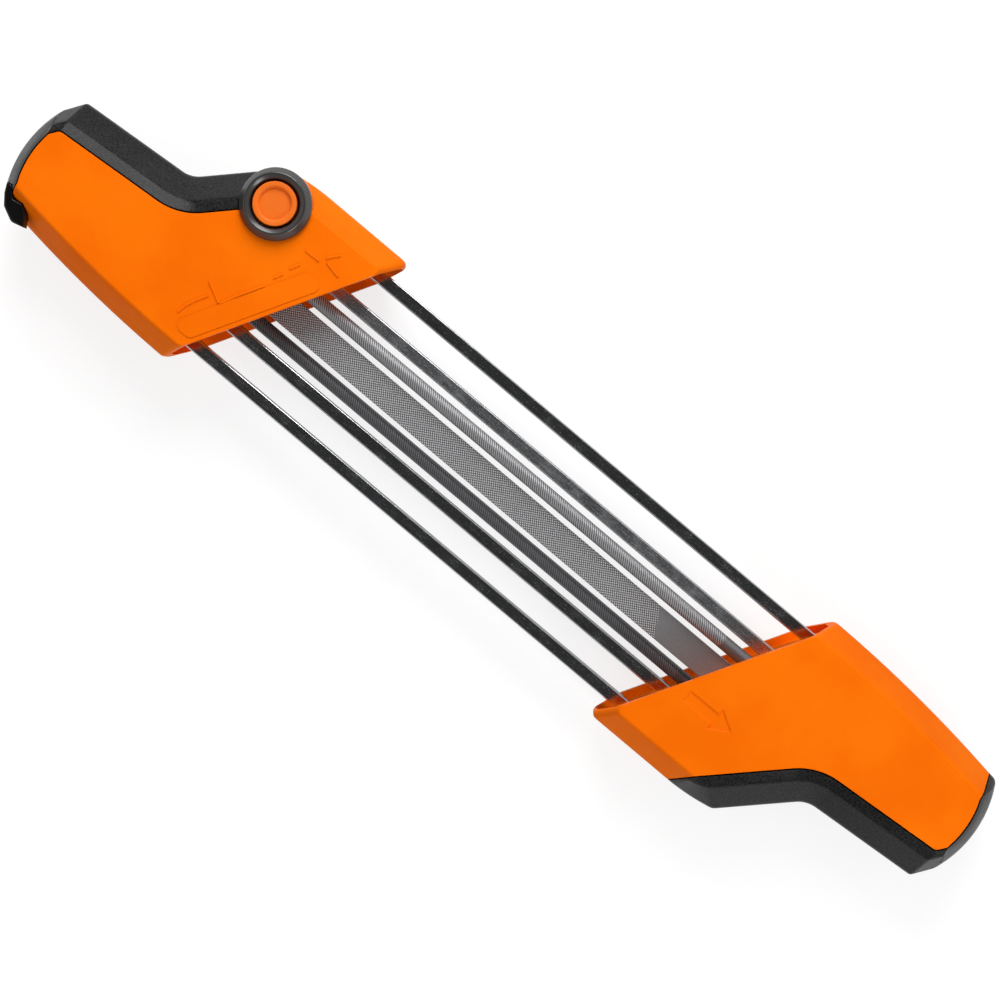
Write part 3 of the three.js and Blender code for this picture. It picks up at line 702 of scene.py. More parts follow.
# %% [markdown]
# ## The left handle
# The left handle opens. A round turret stands at the corner beside the shoulder and carries the pivot.
# The lower shell keeps the corner behind the turret, and the cover keeps the turret's upper part, so the
# cover can swing about it.

# %% Tools for the pivot corner
ring_low, ring_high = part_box("pivot_ring")
pivot = -(ring_low + ring_high).to_2d() / 2 / mm
turret_radius = (ring_high.x - ring_low.x) / mm / 2
sleeve_low, sleeve_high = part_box("pivot_sleeve")
sleeve_radius = (sleeve_high.x - sleeve_low.x) / mm / 2
turret_bottom_wall = 2.5
notch_along = 6.7
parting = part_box("left_base")[1].z / mm - half_thickness
seam = 0.08


def turret(name, radius, low, high):
    return tool(drum(name, pivot, radius, low, high, 2 * drum_sides))


def behind_pivot(name, along):
    """A wide wedge that starts a little behind the pivot and takes in the corner of the handle."""
    place = pivot + Vector((diagonal, diagonal)) * along
    corners = [place + Vector((-wide, wide)), place + Vector((-2 * wide, 0)),
               place + Vector((0, -2 * wide)), place + Vector((wide, -wide))]
    return tool(prism(name, corners, -high_cut, high_cut))


base_region = carve(tool(copy_of(orange_region, "base_region")),
                    (JOIN, behind_pivot("base_corner", notch_along)))
base_corner_room = carve(tool(copy_of(corner_chamber, "base_corner_room")),
                         (KEEP, behind_pivot("corner_room", notch_along - skirt_wall)))
beside_pivot = tool(block("beside_pivot", (0, -far, -half_thickness), (pivot.x, pivot.y, high_cut)))
cover_region = carve(tool(copy_of(orange_region, "cover_region")), (JOIN, beside_pivot))
cover_corner_room = carve(tool(copy_of(corner_chamber, "cover_corner_room")), (KEEP, beside_pivot))
print("the pivot's place in the handle", [round(value, 2) for value in pivot])

# %% [markdown]
# The black finger tab lies in a notch of the cover. Its outline is a handful of corners, written as
# shares of its length along the end of the handle and of its depth across it.

# %% The tab's outline
tab_length = 14.2
tab_depth = 9.6
tab_past_end = 1.3
tab_past_side = 3.1
tab_round = 2.5
tab_wall = 1.6
tab_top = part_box("cover_tab")[1].z / mm - half_thickness


def tab_corner(along, across, radius):
    at = on_end_arc(end_radius, end_corner_y)
    x = at.x + tab_past_end - tab_length * (1 - along)
    y = at.y + tab_past_side - tab_depth * (1 - across)
    return corner(x, y, PLAIN, radius, corner_steps if radius else 0)


tab_corners = [
    tab_corner(0.95, 0.04, 0), tab_corner(0.85, 0.37, 0), tab_corner(0.66, 0.74, tab_round),
    tab_corner(0.3, 1, tab_round), tab_corner(0, 0.88, 0), tab_corner(0.17, 0.44, tab_round / 2),
    tab_corner(0.35, 0.26, tab_round / 2), tab_corner(0.6, 0.34, tab_round / 2), tab_corner(0.8, 0, 0),
]


def tab_prism(name, growth, low, high, soft=True):
    outline = [place for place, _ in rounded(tab_corners, soft)]
    return tool(prism(name, inset_outline(outline, -growth), low, high))


print("corners of the tab", len(tab_corners))

# %% [markdown]
# Now the shells. Their order of cuts matters. The turrets are joined with some length to spare past the
# parting, and the band of height comes last and trims them. Cut first, the band would leave its face and
# the turret's end in one plane, and the exact Boolean tears or loses pieces there.

# %% The lower shell of the left handle
left_holes = rod_holes(-1)
left_screws = ["left_carrier_screw_1", "left_carrier_screw_2", "pivot_screw"]
base_turret = turret("base_turret", turret_radius, -half_thickness, parting + overrun)
sleeve_room = turret("sleeve_room", sleeve_radius + gap, -half_thickness + turret_bottom_wall, far)
left_base = carve(copy_of(handle_body, "left_lower_shell"),
                  (KEEP, base_region), (CUT, mouth_pocket), (CUT, inner_chamber), (CUT, base_corner_room),
                  (JOIN, base_turret), (CUT, sleeve_room),
                  *[screw_recess(name) for name in left_screws], *left_holes,
                  height_band("base_band", -high_cut, parting))
print(left_base.name, measured(left_base))

# %% The cover and the grip of the left handle
tab_seat = tab_prism("tab_seat", gap + tab_wall, 0, high_cut, False)
cover_hollow = carve(tool(copy_of(inner_chamber, "cover_hollow")), (CUT, tab_seat))
cover_turret = turret("cover_turret", turret_radius, parting - overrun, half_thickness - slit / 2)
left_cover = carve(copy_of(handle_body, "swing_cover"),
                   (KEEP, cover_region), (CUT, tab_prism("tab_room", gap, 0, high_cut)),
                   (CUT, mouth_pocket), (CUT, cover_hollow), (CUT, cover_corner_room), (JOIN, cover_turret),
                   (CUT, turret("cover_bore", sleeve_radius + gap, 0, high_cut + overrun)),
                   height_band("cover_band", parting + seam, high_cut))

left_grip = carve(copy_of(handle_body, "left_grip_cover"),
                  (CUT, tab_prism("tab_gap", gap, parting, half_thickness)),
                  (CUT, grip_limit), (CUT, cavity),
                  (CUT, behind_pivot("grip_corner", notch_along + gap)),
                  (CUT, turret("grip_bore", turret_radius + 2 * gap, -far, far)))
for piece in (left_cover, left_grip):
    print(piece.name, measured(piece))

# %% [markdown]
# ## Putting the handles in place
# Everything so far was cut about the middle plane, in the right handle's place. Now each piece is lifted
# on to the ground, and those of the left handle are turned half round. Smooth shading with sharp cuts
# lets the soft folds shade softly. Weighted normals keep the big flat faces flat beside them.

# %% Lift, turn and smooth
sharp_angle = math.radians(32)
lift = Matrix.Translation((0, 0, half_thickness * mm))
half_round = Matrix.Rotation(math.pi, 4, "Z")
SIDE = {"left": lift @ half_round, "right": lift}


def smooth(piece):
    """Smooth shading, with sharp edges where two faces meet at more than the sharp angle."""
    for face in piece.data.polygons:
        face.use_smooth = True
    piece.data.set_sharp_from_angle(angle=sharp_angle)
    weigh = piece.modifiers.new("weigh", "WEIGHTED_NORMAL")
    weigh.keep_sharp = True
    return bake(piece)


def settle(piece, side, body, *nodes):
    """Puts a handle's piece in its place on the tool, on the body that carries it."""
    piece.data.transform(SIDE[side])
    return install(piece, body, *nodes)


def install(piece, body, *nodes):
    smooth(piece)
    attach(piece, body)
    if nodes:
        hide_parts(*nodes)
    return piece


settle(right_top, "right", "guide", "right_top_shell")
settle(right_bottom, "right", "guide", "right_bottom_shell")
settle(right_grip, "right", "guide", "right_grip")
settle(left_base, "left", "guide", "left_base")
settle(left_grip, "left", "guide", "left_grip")
settle(left_cover, "left", "cover", "left_cover")
print("shells and grips are in place")

# %% [markdown]
# The finger tab is a little cushion: its outline is lofted up to its top with a soft edge.

# %% The finger tab
tab_edge = 0.9


def cushion(name, outline, low, high, edge):
    """A flat piece with a softly rounded upper edge."""
    inner = inset_outline(outline, edge)
    paths = []
    for at, within in zip(outline, inner):
        foot, shoulder = at.to_3d() + Vector((0, 0, low)), at.to_3d() + Vector((0, 0, high))
        top = within.to_3d() + Vector((0, 0, high))
        paths.append([foot, *soft_path([foot, shoulder, top], [edge])])
    return loft(name, paths)


tab_places = [place for place, _ in rounded(tab_corners, True)]
finger_tab = cushion("finger_tab", tab_places, parting + gap, tab_top, tab_edge)
settle(finger_tab, "left", "cover", "cover_tab")
print("finger tab", measured(finger_tab))

# %% [markdown]
# ## Turned pieces
# The ring, the button, the screws and the round files are all bodies of revolution. `turned` spins a
# half section about an axis, as a lathe does. The section is written as corners and softened with the
# same curves as the folds of the handles.

# %% Turned bodies
turn_steps = 96


def turned(name, section, steps=turn_steps):
    """Spins a half section of (radius, height) about the Z axis. It starts and ends on the axis or closes."""
    on_axis = section[0][0] == 0
    ring_points = section[1:-1] if on_axis else section
    points = []
    for step in range(steps):
        turn = 2 * math.pi * step / steps
        for radius, height in ring_points:
            points.append((radius * math.cos(turn), radius * math.sin(turn), height))
    count = len(ring_points)
    faces = []
    for step in range(steps):
        here, there = step * count, (step + 1) % steps * count
        for level in range(count - 1 if on_axis else count):
            above = (level + 1) % count
            faces.append((here + level, there + level, there + above, here + above))
        if on_axis:
            faces.append((here, there, steps * count))
            faces.append((here + count - 1, there + count - 1, steps * count + 1))
    if on_axis:
        points += [(0, 0, section[0][1]), (0, 0, section[-1][1])]
    return mesh_piece(name, points, faces)


def soft_section(corners, reach):
    """The corners of a closed half section, softened."""
    places = [Vector((radius, 0, height)) for radius, height in corners]
    path = soft_path([places[-1], *places, places[0]], [reach] * len(places))
    return [(place.x, place.z) for place in path]


print("steps round a turned piece", turn_steps)

# %% [markdown]
# The ring covers the top of the turret. Its inside slopes down to the bore that the button moves in. The
# button has a shallow dish on top, a flange that keeps it under the ring, and a pocket for the spring.

# %% The ring
ring_top = ring_high.z / mm
ring_base = half_thickness * 2 + gap
ring_foot = ring_low.z / mm
ring_bore = 8.0
ring_neck_radius = 8.6
ring_ridge = 9.9
ring_edge_height = 1.0
ring_lip_drop = 1.3
ring_soft = 0.7

world_pivot = -pivot
ring_section = soft_section([
    (ring_bore, ring_foot), (ring_neck_radius, ring_foot), (ring_neck_radius, ring_base),
    (turret_radius, ring_base), (turret_radius, ring_base + ring_edge_height), (ring_ridge, ring_top),
    (ring_bore, ring_top - ring_lip_drop),
], ring_soft)


def at_pivot(piece, body, *nodes):
    piece.data.transform(Matrix.Translation((world_pivot.x * mm, world_pivot.y * mm, 0)))
    return install(piece, body, *nodes)


ring = at_pivot(turned("ring", ring_section), "guide", "pivot_ring")
print("ring faces", len(ring.data.polygons))

# %% The push button
button_low, button_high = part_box("release_button")
button_top = button_high.z / mm
button_radius = 7.25
dish_radius = 5.7
dish_floor = 5.0
dish_depth = 0.9
flange_top = ring_foot - gap
button_foot = button_low.z / mm
button_soft = 0.3
button_roof = 3.0
pocket_radius = 6.2
pocket_top = button_top - button_roof

button_section = soft_section([
    (pocket_radius, pocket_top), (pocket_radius, button_foot), (ring_neck_radius, button_foot),
    (ring_neck_radius, flange_top), (button_radius, flange_top), (button_radius, button_top),
    (dish_radius, button_top), (dish_floor, button_top - dish_depth),
], button_soft)
button_section = [(0, pocket_top), *button_section, (0, button_top - dish_depth)]
button = at_pivot(turned("push_button", button_section), "button", "release_button")
print("button faces", len(button.data.polygons))

# %% [markdown]
# ## The spring
# A tube on a helix. The function for the tube can flatten its section too, because the raised strokes
# on the left panel will be tubes as well.

# %% The coil spring
spring_radius = 5.0
wire = 0.5
spring_turns = 7
spring_turn_steps = 32
wire_sides = 10


def tube(name, centres, radius, sides, flat=1.0):
    """A tube along a row of centres. `flat` presses its section towards the ground."""
    count = len(centres)
    points = []
    for index, centre in enumerate(centres):
        before = centres[max(index - 1, 0)]
        after = centres[min(index + 1, count - 1)]
        ahead = (after - before).normalized()
        across = Vector((0, 0, 1)).cross(ahead).normalized()
        upward = ahead.cross(across)
        for side in range(sides):
            turn = 2 * math.pi * side / sides
            points.append(centre + across * radius * math.cos(turn) + upward * radius * flat * math.sin(turn))
    faces = []
    for index in range(count - 1):
        here, there = index * sides, (index + 1) * sides
        for side in range(sides):
            beside = (side + 1) % sides
            faces.append((here + side, here + beside, there + beside, there + side))
    faces += [tuple(range(sides)), tuple(range((count - 1) * sides, count * sides))]
    return mesh_piece(name, points, faces)


spring_low, spring_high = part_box("button_spring")
coil_low = spring_low.z / mm + wire
coil_high = spring_high.z / mm - wire
coil_steps = spring_turns * spring_turn_steps
coil = []
for step in range(coil_steps + 1):
    turn = 2 * math.pi * step / spring_turn_steps
    height = coil_low + (coil_high - coil_low) * step / coil_steps
    coil.append(Vector((spring_radius * math.cos(turn), spring_radius * math.sin(turn), height)))
spring = at_pivot(tube("return_spring", coil, wire, wire_sides), "guide", "button_spring")
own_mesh(spring)

# %% [markdown]
# ## Bars and files
# The bars are drawn steel with small round edges, which is where they catch the light. The files are
# hardened steel. Their teeth are far too small to model one by one, so they come later, in the finish.

# %% Square bars
bar_edge = 0.55


def lying_prism(name, section, low_x, high_x, chamfer):
    """A rod along X with a given section, and a small chamfer at both ends."""
    middle = sum(section, Vector((0, 0))) / len(section)
    rings = []
    for x, shrink in ((low_x, chamfer), (low_x + chamfer, 0), (high_x - chamfer, 0), (high_x, chamfer)):
        ring_places = [at + (middle - at).normalized() * shrink for at in section]
        rings.append([Vector((x, at.x, at.y)) for at in ring_places])
    return loft(name, list(zip(*rings)))


def rod_section(name, radius):
    """A rectangle with rounded corners, as wide and high as a packed rod."""
    low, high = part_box(name)
    corners = [(low.y, low.z), (high.y, low.z), (high.y, high.z), (low.y, high.z)]
    soft_corners = [corner(y / mm, z / mm, PLAIN, radius, corner_steps) for y, z in corners]
    return [place for place, _ in rounded(soft_corners, True)]


rods = {}
for name in bars:
    low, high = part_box(name)
    section = rod_section(name, bar_edge)
    rods[name] = lying_prism(name + "_rod", section, low.x / mm, high.x / mm, bar_edge / 2)
    install(rods[name], "guide", name)
print("bars", len(rods))

# %% [markdown]
# A round file is turned, and then laid along X. Its object stays on its own axis, because the teeth in
# its finish will be wound round that axis.

# %% Round files and the flat file
file_edge = 0.25
file_turn_steps = 48


def lying_turned(name, node):
    """A round rod that lies along X, as long and thick as a packed file, with its origin on its axis."""
    low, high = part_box(node)
    radius = (high.y - low.y) / mm / 2
    half = (high.x - low.x) / mm / 2
    section = [(0, -half), (radius - file_edge, -half), (radius, -half + file_edge),
               (radius, half - file_edge), (radius - file_edge, half), (0, half)]
    rod = turned(name, section, file_turn_steps)
    rod.data.transform(Matrix.Rotation(math.pi / 2, 4, "Y"))
    rod.location = (low + high) / 2
    return install(rod, "guide", node)


for node in ("round_file_front", "round_file_rear"):
    rods[node] = lying_turned(node + "_rod", node)
flat_low, flat_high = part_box("flat_file")
rods["flat_file"] = lying_prism("flat_file_rod", rod_section("flat_file", file_edge),
                                flat_low.x / mm, flat_high.x / mm, file_edge)
install(rods["flat_file"], "guide", "flat_file")
print("bars and files", len(rods))

# %% [markdown]
# ## Screws
# The heads lie in deep recesses in the underside. Each has a domed rim and a six-lobed socket. The
# socket needs no cutting: the outline of the head simply turns into a lobed one on its way inwards.

# %% Screws with a six-lobed socket
screw_turn_steps = 48
socket_radius = 1.25
socket_wave = 0.18
socket_lobes = 6
socket_depth = 1.1
socket_floor_share = 0.5
tip_share = 0.6
dome = 0.5


def socket_outline(radius, wave, turn):
    return radius + wave * math.cos(socket_lobes * turn)


def pan_screw(node):
    low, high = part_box(node)
    centre = (low + high).to_2d() / 2 / mm
    foot, tip = low.z / mm, high.z / mm
    head = foot + screw_head_height
    levels = [
        (socket_radius * socket_floor_share, 0, foot + socket_depth),
        (socket_radius, socket_wave, foot + socket_depth), (socket_radius, socket_wave, foot),
        (screw_head_radius - dome, 0, foot), (screw_head_radius, 0, foot + dome),
        (screw_head_radius, 0, head), (screw_shank_radius, 0, head), (screw_shank_radius, 0, tip - dome),
        (screw_shank_radius * tip_share, 0, tip),
    ]
    paths = []
    for step in range(screw_turn_steps):
        turn = 2 * math.pi * step / screw_turn_steps
        aim = Vector((math.cos(turn), math.sin(turn), 0))
        paths.append([centre.to_3d() + aim * socket_outline(radius, wave, turn) + Vector((0, 0, height))
                      for radius, wave, height in levels])
    return install(loft(node + "_lobed", paths), "guide", node)


screws = [pan_screw(node) for node in right_screws + left_screws]
print("screws", len(screws))

# %% [markdown]
# ## Raised marks
# The left panel has a raised lip beside its mouth. It is a long low plateau with gently sloping sides,
# made as the arrow was, but raised. It follows the slant of the mouth, so its corners are given by their
# depth inside the mouth.

# %% The lip beside the mouth
lip_first, lip_last = 2.8, 8.8
lip_low_y, lip_high_y = -14.0, 26.0
lip_rise = 0.25
lip_slope = 0.9
lip_round = 1.6


def lip_outline():
    corners = [(lip_low_y, lip_first), (lip_low_y, lip_last), (lip_high_y, lip_last), (lip_high_y, lip_first)]
    soft_corners = []
    for y, depth in corners:
        soft_corners.append(corner(mouth_line_x(y) + depth, y, PLAIN, lip_round, corner_steps))
    return [place for place, _ in rounded(soft_corners, True)][::-1]


lip = sloped("mouth_lip", lip_outline(), lip_rise, lip_slope)
settle(lip, "left", "cover")
print("lip", measured(lip))

# %% [markdown]
# Beside the lip are the strokes of a small drawing. Each is a low, soft line of plastic that lies half
# sunk in the panel, so it is a tube along a broken line. The places are given on the whole tool.

# %% Raised strokes
panel_z = 2 * half_thickness
line_radius = 0.45
line_pitch = 0.4
line_sides = 12
line_flat = 0.95


def dense(corners):
    """More points along a broken line, so that a tube turns its corners neatly."""
    places = []
    for first, last in zip(corners, corners[1:]):
        count = max(1, round((last - first).length / line_pitch))
        places += [first.lerp(last, step / count) for step in range(count)]
    return places + [corners[-1]]


def raised_line(name, corners, body):
    places = [Vector((x, y, panel_z)) for x, y in corners]
    return install(tube(name, dense(places), line_radius, line_sides, line_flat), body)


strokes = [
    [(-117.6, -22.5), (-117.0, -19.2), (-115.7, -16.3), (-114.2, -13.5), (-113.3, -12.0)],
    [(-116.0, -8.4), (-109.2, -11.8)],
    [(-108.8, -11.7), (-105.8, -5.7), (-101.3, 2.1)],
    [(-100.6, 6.0), (-99.2, 8.8)],
    [(-98.5, 11.7), (-96.8, 14.9)],
    [(-98.3, 19.6), (-92.8, 19.8)],
    [(-91.5, 22.0), (-88.4, 25.7)],
    [(-90.3, 21.0), (-84.7, 19.8)],
]
drawn = [raised_line(f"drawn_stroke_{number + 1}", line, "cover") for number, line in enumerate(strokes)]
print("strokes", len(drawn))

# %% [markdown]
# ## Finishes
# A material is a small graph of nodes. We need the same few moves again and again: place a texture on
# the piece, turn a value into a colour, and turn a value into bumps. `add` makes one node and joins its
# inputs, whether they are plain values or the outputs of other nodes.

# %% Helpers for node graphs
def add(material, kind, inputs=(), **settings):
    """Adds a node. Each input is a plain value, or the output of another node."""
    tree = material.node_tree
    made = tree.nodes.new("ShaderNode" + kind)
    for name, value in settings.items():
        setattr(made, name, value)
    for name, value in dict(inputs).items():
        if isinstance(value, bpy.types.NodeSocket):
            tree.links.new(value, made.inputs[name])
        else:
            made.inputs[name].default_value = value
    return made


def new_finish(name, metallic=0.0, shine=0.5, tint=(1.0, 1.0, 1.0)):
    """An empty material, its shader, and the place on the piece that textures start from."""
    material = bpy.data.materials.new(name)
    material.use_nodes = True
    surface = material.node_tree.nodes["Principled BSDF"]
    surface.inputs["Metallic"].default_value = metallic
    surface.inputs["Specular IOR Level"].default_value = shine
    surface.inputs["Specular Tint"].default_value = (*tint, 1.0)
    place = add(material, "TexCoord").outputs["Object"]
    return material, surface, place


def connect(material, output, shader, name):
    material.node_tree.links.new(output, shader.inputs[name])


def noise(material, place, size, detail=3.0, rough=0.55):
    """Noise whose lumps are about a size across, in millimetres."""
    inputs = {"Vector": place, "Scale": 1 / (size * mm), "Detail": detail, "Roughness": rough}
    return add(material, "TexNoise", inputs).outputs["Fac"]


def blend_colours(material, amount, *stops):
    """A colour that changes with a value, through stops of (value, colour)."""
    ramp = add(material, "ValToRGB", {"Fac": amount})
    places = ramp.color_ramp.elements
    while len(places) < len(stops):
        places.new(1.0)
    for place, (value, colour) in zip(places, stops):
        place.position = value
        place.color = (*colour, 1.0)
    return ramp.outputs["Color"]


def spread(material, value, low, high, first, last):
    """Maps a value from one range to another, without leaving the second."""
    inputs = {"Value": value, "From Min": low, "From Max": high, "To Min": first, "To Max": last}
    return add(material, "MapRange", inputs).outputs["Result"]


def bumps(material, surface, *layers):
    """Bumps in layers of (height, depth in millimetres), one on top of another."""
    below = None
    for height, depth in layers:
        bump = add(material, "Bump", {"Height": height, "Strength": 1.0, "Distance": depth * mm})
        if below:
            connect(material, below, bump, "Normal")
        below = bump.outputs["Normal"]
    connect(material, below, surface, "Normal")


print("scale of a noise with lumps of one millimetre", round(1 / mm))

# %% Sums with values on a surface
def maths(material, operation, *values):
    """The result of one operation on plain values, or on the outputs of other nodes."""
    made = add(material, "Math", operation=operation)
    for socket, value in zip(made.inputs, values):
        if isinstance(value, bpy.types.NodeSocket):
            material.node_tree.links.new(value, socket)
        else:
            socket.default_value = value
    return made.outputs["Value"]


print("materials of the packed model", len(bpy.data.materials))

# %% [markdown]
# ### Moulded plastic
# Plastic from a mould isn't one flat colour. The pigment drifts a little, a fine grain breaks up its
# gloss, and handling leaves some places smoother than others. The orange shells are satin, the ring and
# tab are smooth, and the grips are coarse and speckled. Only the narrow faces of a grip, above and below
# its folds, are smoother, and the strongest lamp shows in them.

# %% Polish above and below a grip's folds
fold_blur = 0.25


def dull_below_fold(material, place, polish):
    """1 on a grip's sides, and less on its narrow upper and lower faces, which hands have polished."""
    height = add(material, "SeparateXYZ", {"Vector": place}).outputs["Z"]
    from_middle = maths(material, "ABSOLUTE", maths(material, "SUBTRACT", height, half_thickness * mm))
    low, high = (break_height - fold_blur) * mm, (break_height + fold_blur) * mm
    return spread(material, from_middle, low, high, 1.0, 1.0 - polish)


print("polished further than", break_height, "from the middle plane")

# %% Plastic finishes
drift_size, drift_range = 28.0, (0.36, 0.64)
handled_size, handled_range = 9.0, (0.35, 0.7)
sink_size = 14.0


def moulded_plastic(name, deep, pale, gloss, grain_size, grain_depth, wave_depth=0.01, shine=0.5, polish=0.0,
                    speckle=0.0):
    """Plastic that drifts between two colours, with a gloss of (smooth, rough) and a fine grain.

    Speckle is how much of the colour follows the grain, and polish how much smoother the narrow faces are.
    """
    material, surface, place = new_finish(name, shine=shine)
    drift = noise(material, place, drift_size, 4.0)
    grain = noise(material, place, grain_size, 2.0)
    if speckle:
        drift = maths(material, "ADD", maths(material, "MULTIPLY", drift, 1.0 - speckle),
                      maths(material, "MULTIPLY", grain, speckle))
    colour = blend_colours(material, drift, *zip(drift_range, (deep, pale)))
    connect(material, colour, surface, "Base Color")
    handled = noise(material, place, handled_size, 5.0, 0.65)
    dull = spread(material, handled, *handled_range, *gloss)
    if polish:
        kept_dull = dull_below_fold(material, place, polish)
        dull = maths(material, "MULTIPLY", dull, kept_dull)
        grain = maths(material, "MULTIPLY", grain, kept_dull)
    connect(material, dull, surface, "Roughness")
    sink = noise(material, place, sink_size, 1.0)
    bumps(material, surface, (sink, wave_depth), (grain, grain_depth))
    return material


orange_shell = moulded_plastic("orange_shell", (0.93, 0.152, 0.001), (0.98, 0.18, 0.002), (0.38, 0.5),
                               grain_size=0.35, grain_depth=0.012, wave_depth=0.05, shine=0.025)
orange_button = moulded_plastic("orange_button", (0.84, 0.16, 0.012), (0.92, 0.19, 0.018), (0.34, 0.46),
                                grain_size=0.3, grain_depth=0.01, shine=0.2)
black_grip = moulded_plastic("black_grip", (0.003, 0.003, 0.0035), (0.026, 0.026, 0.027), (0.26, 0.36),
                             grain_size=0.65, grain_depth=0.07, wave_depth=0.03, shine=0.1, polish=0.5,
                             speckle=0.75)
black_ring = moulded_plastic("black_ring", (0.022, 0.021, 0.02), (0.032, 0.031, 0.03), (0.22, 0.34),
                             grain_size=0.3, grain_depth=0.008, shine=0.7)
black_tab = moulded_plastic("black_tab", (0.003, 0.003, 0.0035), (0.005, 0.005, 0.0055), (0.14, 0.22),
                            grain_size=0.4, grain_depth=0.004, shine=0.25)
grey_block = moulded_plastic("grey_block", (0.15, 0.155, 0.16), (0.21, 0.215, 0.22), (0.45, 0.6),
                             grain_size=0.3, grain_depth=0.015)
print("finishes so far", [material.name for material in bpy.data.materials])

# %% [markdown]
# ### Plated steel
# The bars are mirror bright, so their colour is mostly that of the room. What makes them look real is
# what disturbs the mirror: fine scratches along the bar, left by the chain of many saws, a few pits, and
# duller specks and patches on the flat faces. The upright sides get a darker colour, as in the photograph:
# that is painted shade.

# %% Plating with scratches, pits and specks
plating_tint = (0.25, 0.25, 0.27)
scratch_width, scratch_stretch, scratch_range = 0.22, 0.02, (0.4, 0.75)
pit_spacing, pit_edge, pit_depth, pit_tone = 2.6, (0.03, 0.08), 0.02, 0.35
cloud_size, cloud_range, cloud_tone = 12.0, (0.3, 0.7), 0.82
speck_size, speck_range, speck_dull = 0.7, (0.53, 0.7), 0.16
patch_size, patch_range, patch_dull = 6.0, (0.5, 0.7), 0.05
# The darker colour of the bars' upright sides is painted shade.
painted_side_shade_range, painted_side_shade = (0.02, 0.2), 0.45
flat_range = (0.75, 0.95)


def flatness(material):
    """How level a face is: 1 on the flat faces of a bar, and 0 on its upright sides."""
    facing = add(material, "TexCoord").outputs["Normal"]
    return maths(material, "ABSOLUTE", add(material, "SeparateXYZ", {"Vector": facing}).outputs["Z"])


def plated_steel(name, tone, gloss, scratch_depth=0.004):
    """Bright plating of one tone, with a gloss of (smooth, rough) between and in its scratches."""
    material, surface, place = new_finish(name, 1.0, tint=plating_tint)
    stretched = add(material, "Mapping", {"Vector": place, "Scale": (scratch_stretch, 1.0, 1.0)})
    scratches = noise(material, stretched.outputs["Vector"], scratch_width, 3.0, 0.7)
    cells = add(material, "TexVoronoi", {"Vector": place, "Scale": 1 / (pit_spacing * mm)})
    pits = spread(material, cells.outputs["Distance"], *pit_edge, 0.0, 1.0)
    cloud = spread(material, noise(material, place, cloud_size, 4.0), *cloud_range, cloud_tone, 1.0)
    level = flatness(material)
    shade = maths(material, "MULTIPLY", cloud, pits)
    # Painted shade: the upright sides are coloured darker than the flat faces.
    shade = maths(material, "MULTIPLY", shade, spread(material, level, *painted_side_shade_range, painted_side_shade, 1.0))
    colour = blend_colours(material, shade, (0.0, tuple(part * pit_tone for part in tone)), (1.0, tone))
    connect(material, colour, surface, "Base Color")
    specks = spread(material, noise(material, place, speck_size, 5.0, 0.75), *speck_range, 0.0, speck_dull)
    patches = spread(material, noise(material, place, patch_size, 2.0), *patch_range, 0.0, patch_dull)
    marks = maths(material, "MULTIPLY", maths(material, "ADD", specks, patches),
                  spread(material, level, *flat_range, 0.0, 1.0))
    dull = maths(material, "ADD", spread(material, scratches, *scratch_range, *gloss), marks)
    connect(material, dull, surface, "Roughness")
    bumps(material, surface, (scratches, scratch_depth), (pits, pit_depth))
    return material


bright_bar = plated_steel("bright_bar", (0.66, 0.67, 0.69), (0.1, 0.24))
worn_bar = plated_steel("worn_bar", (0.66, 0.67, 0.69), (0.22, 0.34), 0.01)
zinc_screw = plated_steel("zinc_screw", (0.5, 0.51, 0.53), (0.22, 0.36))
print("nodes in the plating", len(bright_bar.node_tree.nodes))

# %% [markdown]
# ### File teeth
# Teeth are a repeating pattern, so they come from arithmetic. A phase grows along the file, and its
# fraction is a saw wave. On the flat file two such waves cross. On a round file the phase also grows with
# the angle round the rod, which turns the rows into a screw.
# The wave bumps the steel and also colours it: the dark grooves are painted shade and the pale ridges painted
# light.

# %% Waves for teeth
first_cut, first_pitch = (0.82, 0.57, 0.0), 0.7
second_cut, second_pitch = (0.5, -0.87, 0.0), 0.76
thread_pitch, thread_starts = 0.85, 10.0


def ridge_wave(material, phase):
    """A wave between 0 in the grooves and 1 on the ridges, from a phase that grows by 1 for each tooth."""
    part = maths(material, "FRACT", phase)
    return maths(material, "PINGPONG", maths(material, "MULTIPLY", part, 2.0), 1.0)


def along_phase(material, place, direction, pitch):
    """A phase that grows along a direction, by 1 for each pitch in millimetres."""
    along = add(material, "VectorMath", {0: place, 1: direction}, operation="DOT_PRODUCT").outputs["Value"]
    return maths(material, "DIVIDE", along, pitch * mm)


def crossed_teeth(material, place):
    first = ridge_wave(material, along_phase(material, place, first_cut, first_pitch))
    second = ridge_wave(material, along_phase(material, place, second_cut, second_pitch))
    return maths(material, "MINIMUM", first, second)


def wound_teeth(material, place):
    parts = add(material, "SeparateXYZ", {"Vector": place}).outputs
    angle = maths(material, "DIVIDE", maths(material, "ARCTAN2", parts["Y"], parts["Z"]), 2 * math.pi)
    rows = maths(material, "ADD", maths(material, "DIVIDE", parts["X"], thread_pitch * mm),
                 maths(material, "MULTIPLY", angle, thread_starts))
    return ridge_wave(material, rows)


print("pitch of the teeth", first_pitch, second_pitch, thread_pitch)

# %% [markdown]
# The teeth stop short of the tang, the smooth end of a file. On the flat file they stop at a slanted line.
# The steel takes a pattern of teeth and the extent of that pattern, so one function serves all three.

# %% Hardened steel with teeth
smooth_part_shade = 0.3
painted_teeth_shade_range = (0.12, 0.6)
tooth_fade = 0.35
steel_grain_size, steel_grain_range, steel_grain_depth = 0.5, (0.3, 0.7), 0.01
steel_grain_tone = 0.7
steel_gloss = (0.5, 0.68)


